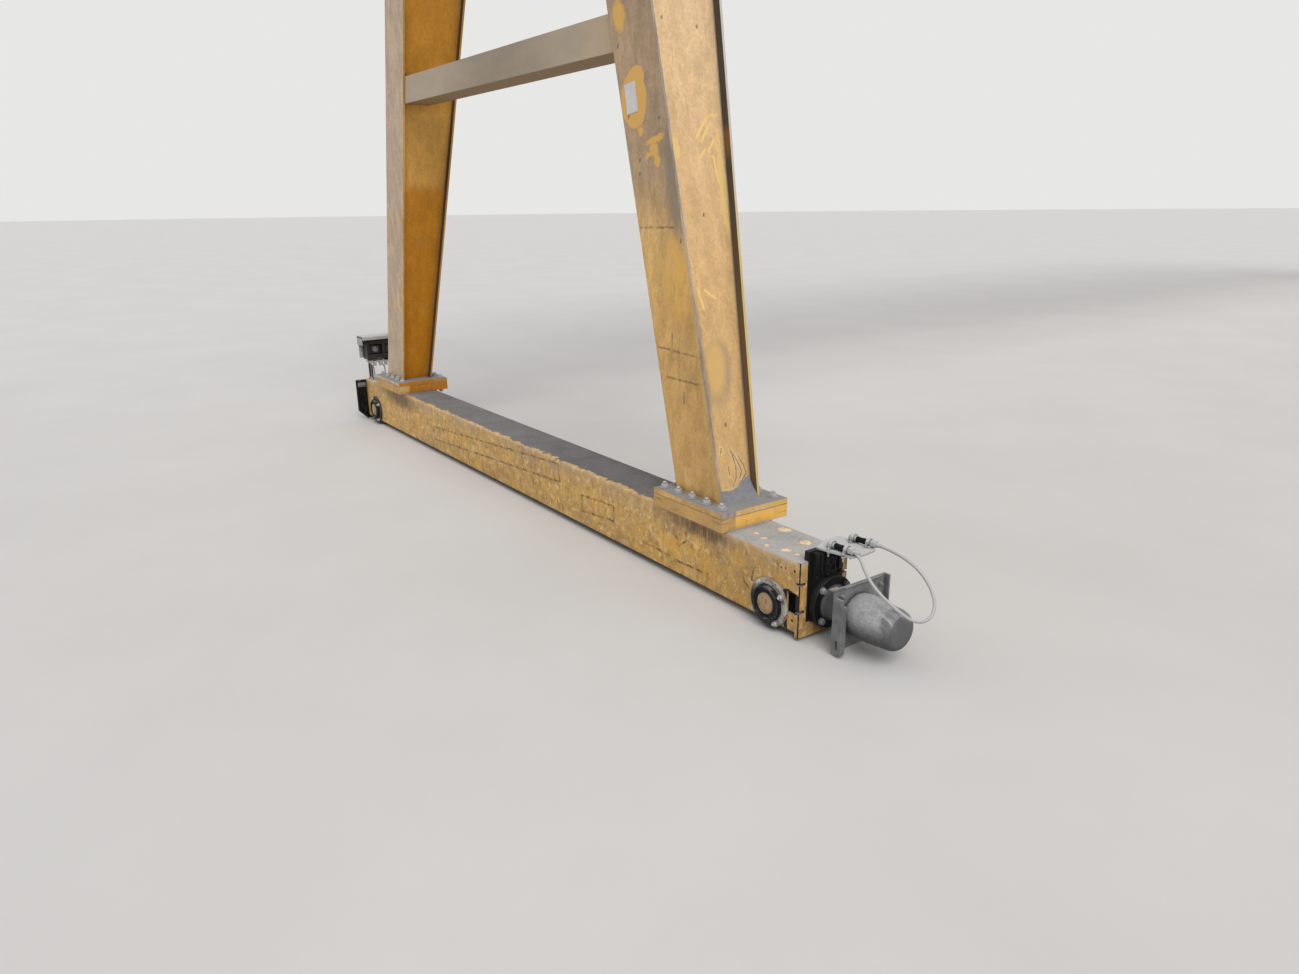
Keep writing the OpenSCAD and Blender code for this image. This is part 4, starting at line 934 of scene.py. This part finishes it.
def leg_top_bolts(side):
    piece = Piece("leg_top_bolts", "zinc", side)
    for s, x, y in product((-1, 1), (-175, -90, 90, 175), (18, LEG_SET_BACK + LEG_TOP_D + 22)):
        piece.bolt((s * LEG_TOP_X + x, y, LEG_TOP), (0, 0, -1), 30, 15, 8)
    piece.finish()


def bearing_bolts(side):
    """Four screws on each bearing flange, and the tan cover over each axle's end."""
    piece = Piece("bearing_bolts", "zinc", side)
    for x, (y, way) in product(WHEEL_X, ((-12, -1), (BEAM_W + 12, 1))):
        for dx, dz in round_points(4, 88, 33):
            piece.bolt((x + dx, y, AXLE_Z + dz), (0, way, 0), 19, 9, 5)
    piece.finish()
    cover = Piece("axle_cover", "wheel_steel", side)
    profile = [(0, 43), (5, 43), (7, 41), (7, 34), (9, 32), (10.5, 20), (11, 4)]
    for x, (y, way) in product(WHEEL_X, ((-23, -1), (BEAM_W + 23, 1))):
        cover.lathe((x, y, AXLE_Z), (0, way, 0), profile, 32)
    cover.finish(HUB)


def leg_welds(side):
    """Fillet welds round the feet and the heads of the legs, and up their webs."""
    piece = Piece("leg_welds", "leg_paint", side)
    inner = LEG_SET_BACK + PLATE_T
    for s in (-1, 1):
        for z, depth in ((FOOT_TOP, LEG_FOOT_D), (LEG_TOP, LEG_TOP_D)):
            mid, half = leg_x(z), LEG_W / 2
            for y in (LEG_SET_BACK, LEG_SET_BACK + depth):
                piece.bead((s * (mid - half), y, z), (s * (mid + half), y, z), 5)
            for x in (s * (mid - LEG_CORE), s * (mid + LEG_CORE)):
                piece.bead((x, inner, z), (x, LEG_SET_BACK + depth - PLATE_T, z), 5)
        for off in (-LEG_CORE, LEG_CORE):
            start, end = FOOT_TOP + 2, LEG_TOP - 2
            backs = [LEG_SET_BACK + depth - PLATE_T for depth in (LEG_FOOT_D, LEG_TOP_D)]
            for foot_y, top_y in ((inner, inner), backs):
                foot, top = s * leg_x(start, off), s * leg_x(end, off)
                piece.bead((foot, foot_y, start), (top, top_y, end), 3.5, 30)
    piece.finish()


def beam_welds(side):
    """Welds between the sole beam and the foot flanges."""
    piece = Piece("beam_welds", "beam_paint", side)
    for s in (-1, 1):
        ends = [s * (LEG_FOOT_X - FOOT_L / 2), s * (LEG_FOOT_X + FOOT_L / 2)]
        for x in ends:
            piece.bead((x, 14, BEAM_H), (x, BEAM_W - 14, BEAM_H), 4)
        for y in (3, BEAM_W - 3):
            piece.bead((ends[0], y, BEAM_H - 4), (ends[1], y, BEAM_H - 4), 4)
    piece.finish()


def dust_heap(side):
    """Dust piled on the foot flange against the driven leg's outer web."""
    piece = Piece("dust_heap", "cable_grey", side)
    along, out = 18, 7
    start, length = LEG_SET_BACK + PLATE_T, LEG_FOOT_D - 2 * PLATE_T
    rows = []
    for i in range(along + 1):
        f = i / along
        y = start + length * f
        top = 34 + 6 * math.sin(9 * f) + 52 * f ** 2.2
        wall = leg_x(FOOT_TOP + top, LEG_CORE) + 0.5
        row = []
        for k in range(out + 1):
            g = k / out
            z = FOOT_TOP + top * (1 - g) ** 1.7 * random.uniform(0.94, 1.04)
            row.append((wall + g * (34 + 40 * f) + LEAN * top * g, y, z))
        rows.append([*row, (row[-1][0], y, FOOT_TOP - 1), (row[0][0], y, FOOT_TOP - 1)])
    piece.skin(rows)
    piece.finish(DUST, 80)


def gear_bolts(side):
    """Screws on the gear's flange, on the neck behind the bracket and on the housing."""
    flange, neck = round_points(4, 90), round_points(4, 71)
    for name, slot, corners in (
        ("gear_bolts", "motor_grey", (1, 2)), ("gear_dark_bolts", "gear_black", (0, 3)),
    ):
        piece = Piece(name, slot, side)
        for k in corners:
            y, z = flange[k]
            piece.bolt((GEAR_FLANGE_X, MOTOR_Y + y, MOTOR_Z + z), (1, 0, 0), 22, 12, 0)
            y, z = neck[k]
            piece.bolt((BRACKET_X - 12, MOTOR_Y + y, MOTOR_Z + z), (-1, 0, 0), 17, 9, 0)
        if slot == "gear_black":
            for y, z in product((70, 130, 200), (230, 322)):
                piece.bolt((GEAR_X, y, z), (1, 0, 0), 15, 7, 0)
        piece.finish()


def gear_cover(side):
    """Ribbed cast cover of the gear housing."""
    piece = Piece("gear_cover", "gear_black", side)
    x = GEAR_X
    piece.block((x - 1, 60, 236), (x + 6, 213, 330), 3)
    for y in (88, 112, 161, 185):
        piece.block((x + 4, y - 3, 244), (x + 12, y + 3, 326), 2)
    boss = [(0, 24), (10, 24), (13, 21), (13, 12), (9, 10)]
    piece.lathe((x - 1, 137, 285), (1, 0, 0), boss, 28)
    piece.finish()


def strap(piece, middle, way, across, width=13, radius=15, thick=4):
    """A saddle bent over a gland, with its two feet flat on the plate."""
    up, half = Vector((0, 0, 1)), way * width / 2
    drop = middle.z - PLATE_TOP
    arch = [math.pi * k / 8 for k in range(9)]
    outline = [(-radius - 14, -drop), (-radius - 1, -drop)]
    outline += [(radius * math.cos(math.pi - a), radius * math.sin(a)) for a in arch]
    outline += [(radius + 1, -drop), (radius + 14, -drop)]
    rings = []
    for i, (a, b) in enumerate(outline):
        foot = i < 2 or i > len(outline) - 3
        out = Vector((0, 1)) if foot else Vector((a, b)).normalized()
        low = middle + across * a + up * b
        high = low + (across * out.x + up * out.y) * thick
        rings.append([low - half, low + half, high + half, high - half])
    piece.skin(rings)


def gland_parts(side):
    """Hexagon nuts, black sleeves, saddles and studs that hold the glands on their plate."""
    nuts = Piece("gland_nuts", "zinc", side)
    sleeves = Piece("gland_sleeves", "rubber_black", side)
    noses = Piece("gland_noses", "cable_grey", side)
    sleeve = [(24, 11.2), (26, 12), (40, 12), (42, 11.2), (58, 11.2), (60, 12), (74, 12), (76, 11.2)]
    nose = [(0, 10.5), (4, 10.5), (8, 9), (26, CABLE_R + 1.0), (30, CABLE_R + 0.3)]
    for y0, turn in zip(GLAND_Y, GLAND_TURN):
        a = math.radians(turn)
        way = Vector((math.cos(a), math.sin(a), 0))
        across = Vector((-way.y, way.x, 0))
        foot = Vector((GLAND_X, y0, GLAND_Z))
        for start in (0, GLAND_L - 22):
            hexagon = [(0, 13), (2, 16), (14, 16), (16, 13)]
            nuts.lathe(foot + way * start, way, hexagon, 6, math.pi / 6)
        nuts.lathe(foot + way * (GLAND_L - 8), way, [(0, 13), (1, 15), (6, 15), (8, 11)])
        sleeves.lathe(foot, way, sleeve, 24)
        for start in (18, GLAND_L - 32):
            middle = foot + way * start
            strap(nuts, middle, way, across)
            for s in (-1, 1):
                stud = middle + across * 22 * s
                nuts.bolt((stud.x, stud.y, PLATE_TOP + 3), (0, 0, 1), 9, 6, 4, washer=False)
                nuts.bolt((stud.x, stud.y, PLATE_TOP - 8), (0, 0, -1), 11, 6, 12)
        noses.lathe(foot + way * (GLAND_L - 4), way, nose)
    for piece in (nuts, sleeves, noses):
        piece.finish()


def bracket_parts(side):
    """Tab, stiffening lip and screws of the motor bracket."""
    piece = Piece("bracket_parts", "zinc", side)
    x, y, high = BRACKET_X, MOTOR_Y - 127, 240
    piece.block((x - 26, y + 2, high - 12), (x + 3, y + 44, high - 7))
    piece.block((x + 6, y + 46, high - 4), (x + 16, MOTOR_Y + 122, high - 1), 1)
    for y, z in ((y + 34, 206), (y + 34, 30), (MOTOR_Y + 118, 206)):
        piece.bolt((x + 8, y, z), (1, 0, 0), 17, 8, 5)
    piece.finish(BRACKET)


def motor_parts(side):
    """Cast motor shell with its streaked end cover, and the cover's screws."""
    shell = Piece("motor_shell", "motor_grey", side)
    profile = [
        (0, 66), (0, 76), (3, 80), (12, 84), (30, 87.2), (58, 88), (90, 87), (122, 84.5), (148, 82),
        (150, 80.5), (153, 80.5), (155, 82), (176, 80.5), (192, 77.5), (202, 73.5), (208.5, 68.5),
        (212.5, 61), (214, 51), (214.6, 36), (215, 18), (215, 4),
    ]
    shell.lathe((MOTOR_X, MOTOR_Y, MOTOR_Z), (1, 0, 0), profile, 72)
    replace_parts(shell.finish(MOTOR_SKIN, 30), f"motor_{side}")
    piece = Piece("motor_parts", "motor_grey", side)
    for y, z in round_points(4, 1):
        out = Vector((0, y, z))
        foot = Vector((MOTOR_X + 166, MOTOR_Y, MOTOR_Z)) + out * 79.5
        piece.bolt(foot, out, 9, 4, 0, washer=False)
    piece.finish(MOTOR_SKIN)


def gland_exit(i):
    a = math.radians(GLAND_TURN[i])
    return Vector((GLAND_X + GLAND_L * math.cos(a), GLAND_Y[i] + GLAND_L * math.sin(a), GLAND_Z))


def smooth_route(points, steps):
    """Points on the curve that passes through the given ones, as part.scad has it."""
    last = len(points) - 1
    route = []
    for i in range(last):
        a, b = points[max(i - 1, 0)], points[i]
        c, d = points[i + 1], points[min(i + 2, last)]
        for k in range(steps):
            f = k / steps
            route.append(0.5 * (
                2 * b + (c - a) * f + (2 * a - 5 * b + 4 * c - d) * f * f
                + (3 * b - a - 3 * c + d) * f * f * f
            ))
    return [*route, points[last]]


def drive_cable(side):
    points = [gland_exit(1), *[Vector(p) for p in CABLE_POINTS], gland_exit(0)]
    route = [at(side, *p) for p in smooth_route(points, 4)]
    curve = bpy.data.curves.new(f"cable_{side}", "CURVE")
    curve.dimensions = "3D"
    curve.bevel_depth = CABLE_R * MM
    curve.bevel_resolution = 5
    curve.use_fill_caps = True
    spline = curve.splines.new("POLY")
    spline.points.add(len(route) - 1)
    for target, place in zip(spline.points, route):
        target.co = (*place, 1)
    curve.materials.append(MATERIALS["cable_grey"])
    obj = link(f"cable_{side}", curve)
    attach(obj, "crane")
    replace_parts(obj, f"drive_cable_{side}")


def sensor_clutter(side, box_x, low):
    """Clamps and leads below the sensor box."""
    clutter = Piece("sensor_clutter", "zinc", side)
    for i in range(14):
        x, y = box_x + random.uniform(4, 84), -4 + 19 * i
        a, b, c = [random.uniform(5, 13) for _ in range(3)]
        z = random.choice((low - 6, low - 25, low - 26)) + random.uniform(-2, 2)
        clutter.block((x - a, y - b, z - c), (x + a, y + b, z + c * 0.5), 3)
    for y in (10, 96, 170):
        clutter.tube([
            (box_x + 84, y, low - 8), (box_x + 96, y + 14, low - 40),
            (box_x + 70, y + 34, low - 70), (box_x + 60, y + 40, BEAM_H + 8),
        ], 5)
    clutter.finish(PALE_METAL)


def sensor_parts(side):
    """Hood, brackets, cells and clamps of the sensor box."""
    box_x, low, high = -2354, 460, 613
    metal = Piece("sensor_metal", "zinc", side)
    sensor_clutter(side, box_x, low)
    metal.block((box_x - 10, -38, high + 1), (box_x + 118, 293, high + 27), 3)
    metal.block((box_x - 10, -41, high - 40), (box_x + 106, -36, high + 14), 2)
    metal.block((box_x - 2, -36, low + 8), (box_x + 2, -6, high - 20), 1)
    for x in (box_x + 14, box_x + 66):
        for y in (14, 206):
            metal.block((x - 10, y, BEAM_H), (x + 26, y + 32, BEAM_H + 6))
        for y in (18, 42, 210, 234):
            metal.bolt((x + 14, y, BEAM_H + 6), (0, 0, 1), 13, 7, 6)
    metal.block((box_x + 10, 6, low - 26), (box_x + 92, 248, low - 14), 2)
    for y in (30, 74, 118, 168, 214):
        metal.bolt((box_x + 84, y, low - 14), (0, 0, 1), 13, 7, 10)
        metal.block((box_x + 76, y + 10, low - 52), (box_x + 98, y + 30, low - 26), 2)
    metal.finish(PALE_METAL)
    cells = Piece("sensor_cells", "sensor_black", side)
    lenses = Piece("sensor_lenses", "motor_grey", side)
    for y in (64, 188):
        cells.block((box_x + 58, y - 42, low + 42), (box_x + 76, y + 44, low + 108), 4)
        rim, glass = [(0, 30), (8, 30), (11, 26), (8, 22)], [(0, 21), (3, 19), (5, 12), (5.5, 3)]
        cells.lathe((box_x + 74, y, low + 76), (1, 0, 0), rim, 28)
        lenses.lathe((box_x + 80, y, low + 76), (1, 0, 0), glass, 28)
    for z in (low + 10, high - 14):
        cells.block((box_x + 92, 0, z - 3), (box_x + 101, 255, z + 3))
    cells.finish()
    lenses.finish()


def flap_parts(side):
    """Clamp strip and screws that hold the rubber flap."""
    piece = Piece("flap_clamp", "zinc", side)
    for y in (-70, 261):
        piece.block((-2371, y, 236), (-2364, y + 64, 270))
    for y in (-55, -25, 280, 310):
        piece.bolt((-2365, y, 253), (1, 0, 0), 13, 6, 4)
    for y in (-62, 300):
        piece.block((-2372, y, 282), (-2366, y + 18, 296), 1)
    piece.finish(BRACKET)


def blank_plate():
    """Bare white plate on the driven leg of frame a."""
    piece = Piece("blank_plate", "cable_grey", "a")
    corners = ((1282, 2082), (1362, 2092), (1381, 1971), (1303, 1963))
    piece.skin([[(x, y, z) for x, z in corners] for y in (LEG_SET_BACK, LEG_SET_BACK - 1.6)])
    piece.finish(WHITE_PLATE)


# Middle of the crane along X, in the row's millimetres
MID = MID_X / MM


def box_mm(node):
    """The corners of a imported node, in the row's millimetres."""
    return [[v / MM for v in corner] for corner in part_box(node)]


def girder_parts():
    """Rail clips, web welds and stop buffers of both girders."""
    (x_low, y_low, z_low), (x_high, y_high, z_high) = box_mm("drive_side_girder")
    top = z_high - GIRDER_TOP_BACK
    centre = (x_low + x_high) / 2 - MID
    clips = Piece("rail_clips", "zinc")
    welds = Piece("girder_welds", "girder_paint")
    buffers = Piece("stop_buffers", "rubber_black")
    stop = [(0, 42), (8, 42), (10, 34), (52, 34), (66, 28), (70, 12)]
    for x in (MID - centre, MID + centre):
        for i in range(33):
            y = (i - 16) * 590
            for t in (-1, 1):
                edge = x + t * RAIL_W / 2
                low, high = sorted((edge - t * 2, edge + t * 38))
                clips.block((low, y - 28, top), (high, y + 28, top + 14), 2)
                clips.bolt((edge + t * 20, y, top + 14), (0, 0, 1), 20, 11, 8)
        for web, z in product((x - 160, x + 160), (z_low + 16, top - 16)):
            welds.bead((web, y_low + 14, z), (web, y_high - 14, z), 5, 60)
        for y, web in product((-5000, 5000), (x - 161, x + 161)):
            welds.bead((web, y, z_low + 18), (web, y, top - 18), 5, 20)
        for t in (-1, 1):
            buffers.lathe((x, t * (y_high - RAIL_END_BACK), top + 110), (0, -t, 0), stop, 28)
    for piece in (clips, welds, buffers):
        piece.finish()


def tie_bolts():
    """Screws round the end plates of both end ties."""
    piece = Piece("tie_bolts", "zinc")
    (x_low, y_low, z_low), (x_high, y_high, z_high) = box_mm("end_tie_a")
    ends = ((x_low + 20, 1), (x_high - 20, -1))
    for mirrored, (x, way), y, i in product((1, -1), ends, (y_low + 26, y_high - 26), range(6)):
        z = z_low + 40 + i * (z_high - z_low - 80) / 5
        piece.bolt((x, mirrored * y, z), (way, 0, 0), 24, 13, 8)
    piece.finish()


def trolley_parts():
    """Axle caps, bolts and weld beads of the trolley."""
    (x_low, y_low, z_low), (x_high, y_high, z_high) = box_mm("trolley_frame")
    caps = Piece("trolley_caps", "zinc")
    cap = [(0, 46), (5, 46), (7, 43), (7, 30), (10, 28), (11, 6)]
    for x, way in ((x_low, -1), (x_high, 1), (x_low + 120, 1), (x_high - 120, -1)):
        for y in (y_low + 150, y_high - 150):
            z = z_low + 60
            caps.lathe((x, y, z), (way, 0, 0), cap, 28)
            for dy, dz in round_points(4, 37):
                caps.bolt((x + way * 5, y + dy, z + dz), (way, 0, 0), 12, 6, 0, washer=False)
    caps.finish()
    welds = Piece("trolley_welds", "girder_paint")
    rows = (y_low + 250, y_low + 410, y_high - 410, y_high - 250)
    for y, x in product(rows, (x_low + 120, x_high - 120)):
        welds.bead((x, y, z_low + 22), (x, y, z_high - 18), 5)
    welds.finish()
    feet = Piece("stand_bolts", "zinc")
    for x, y, t in product((MID - 375, MID + 375), (-520, -440, 440, 520), (-1, 1)):
        start = x - 30 + 30 * t
        feet.block((start, y - 26, z_high - 16), (start + 60, y + 26, z_high + 2), 2)
        feet.bolt((x + 42 * t, y, z_high + 2), (0, 0, 1), 20, 11, 7)
    feet.finish()


def drum_rope():
    """Rope wound in the drum's grooves, outwards from both pairs of falls."""
    low, high = box_mm("rope_drum")
    middle = (Vector(low) + Vector(high)) / 2
    piece = Piece("wound_rope", "rope_steel")
    radius, step, turns, sides = 173, 43.3, 4, 40
    for s in (-1, 1):
        points = []
        for k in range(turns * sides + 1):
            a = math.pi + 2 * math.pi * k / sides
            turn = Vector((s * (60 + step * k / sides), radius * math.cos(a), radius * math.sin(a)))
            points.append(middle + turn)
        piece.tube(points, 7)
    piece.finish()


def hoist_parts():
    """Cooling ribs and terminal box of the hoist motor, screws of the gear case."""
    (x_low, y_low, z_low), (x_high, y_high, z_high) = box_mm("hoist_motor")
    y, z = (y_low + y_high) / 2, z_high - 130
    ribs = Piece("motor_ribs", "motor_grey")
    for k in range(36):
        a = 2 * math.pi * k / 36
        if abs(math.sin(a) + 1) < 0.35:
            continue
        out = Vector((0, math.cos(a), math.sin(a)))
        side = Vector((0, -math.sin(a), math.cos(a)))
        base = Vector((0, y, z)) + out * 106
        tip = base + out * 17
        ring = [base - side * 3, base + side * 3, tip + side * 1.6, tip - side * 1.6]
        ribs.skin([[(x_low + start, p.y, p.z) for p in ring] for start in (84, 320)])
    ribs.block((x_low + 130, y - 150, z - 20), (x_low + 250, y - 96, z + 70), 5)
    ribs.block((x_low + 124, y - 156, z - 26), (x_low + 256, y - 150, z + 76), 2)
    ribs.finish()
    x, _, foot = box_mm("hoist_gear")[0]
    case = Piece("gear_case_bolts", "zinc")
    for y, z in (
        (-150, 40), (-150, 180), (-60, 290), (60, 290), (150, 180), (300, 120), (500, 60),
        (620, 60), (620, 190),
    ):
        case.bolt((x, y, foot + z), (-1, 0, 0), 20, 10, 0)
    cover = [(0, 80), (8, 80), (10, 76), (10, 52), (5, 48)]
    case.lathe((x, 0, box_mm("rope_drum")[1][2] - 200), (-1, 0, 0), cover, 36)
    case.finish()


def hook_parts():
    """Pin caps and screws of the hook block, and the hook's safety latch."""
    (x_low, _, z_low), (x_high, _, z_high) = box_mm("hook_block")
    axis = z_high - 170
    caps = Piece("block_pins", "zinc")
    for x, way in ((x_low + 12, -1), (x_high - 12, 1)):
        caps.lathe((x, 0, axis), (way, 0, 0), [(0, 48), (6, 48), (8, 45)], 28)
        caps.bolt((x + way * 10, 0, axis), (way, 0, 0), 36, 14, 0, washer=False)
        for y, z in ((-52, z_low + 30), (52, z_low + 30), (0, z_low + 30), (-80, axis), (80, axis)):
            caps.bolt((x, y, z), (way, 0, 0), 18, 9, 0)
    caps.finish()
    hook_low, hook_high = box_mm("hook")
    nut = Piece("hook_nut", "hook_steel")
    ring = [(0, 38), (4, 42), (20, 42), (24, 36)]
    nut.lathe((MID, 0, hook_high[2] - 74), (0, 0, 1), ring, 32)
    nut.finish()
    latch = Piece("hook_latch", "zinc")
    bowl = hook_low[2] + 114
    top, tip = Vector((MID - 6, 0, bowl + 84)), Vector((MID + 76, 0, bowl + 34))
    for s in (-1, 1):
        bend = top.lerp(tip, 0.5) + Vector((0, s * 18, 8))
        latch.tube([top + Vector((0, s * 20, 0)), bend, tip + Vector((0, s * 8, 0))], 4)
    for middle, half, radius in ((top, 24, 6), (tip, 10, 5)):
        latch.tube([middle - Vector((0, half, 0)), middle + Vector((0, half, 0))], radius, 12)
    latch.finish()


make_camera()
make_light()
make_floor()
dress_frame()
for frame_side in "ab":
    drive_cable(frame_side)
for frame_side in "ab":
    for make in (
        flange_bolts, leg_top_bolts, bearing_bolts, leg_welds, beam_welds, dust_heap, gear_bolts,
        gear_cover, gland_parts, bracket_parts, motor_parts, sensor_parts, flap_parts,
    ):
        make(frame_side)
blank_plate()
girder_parts()
tie_bolts()
trolley_parts()
drum_rope()
hoist_parts()
hook_parts()

bpy.context.scene.view_settings.view_transform = "Standard"
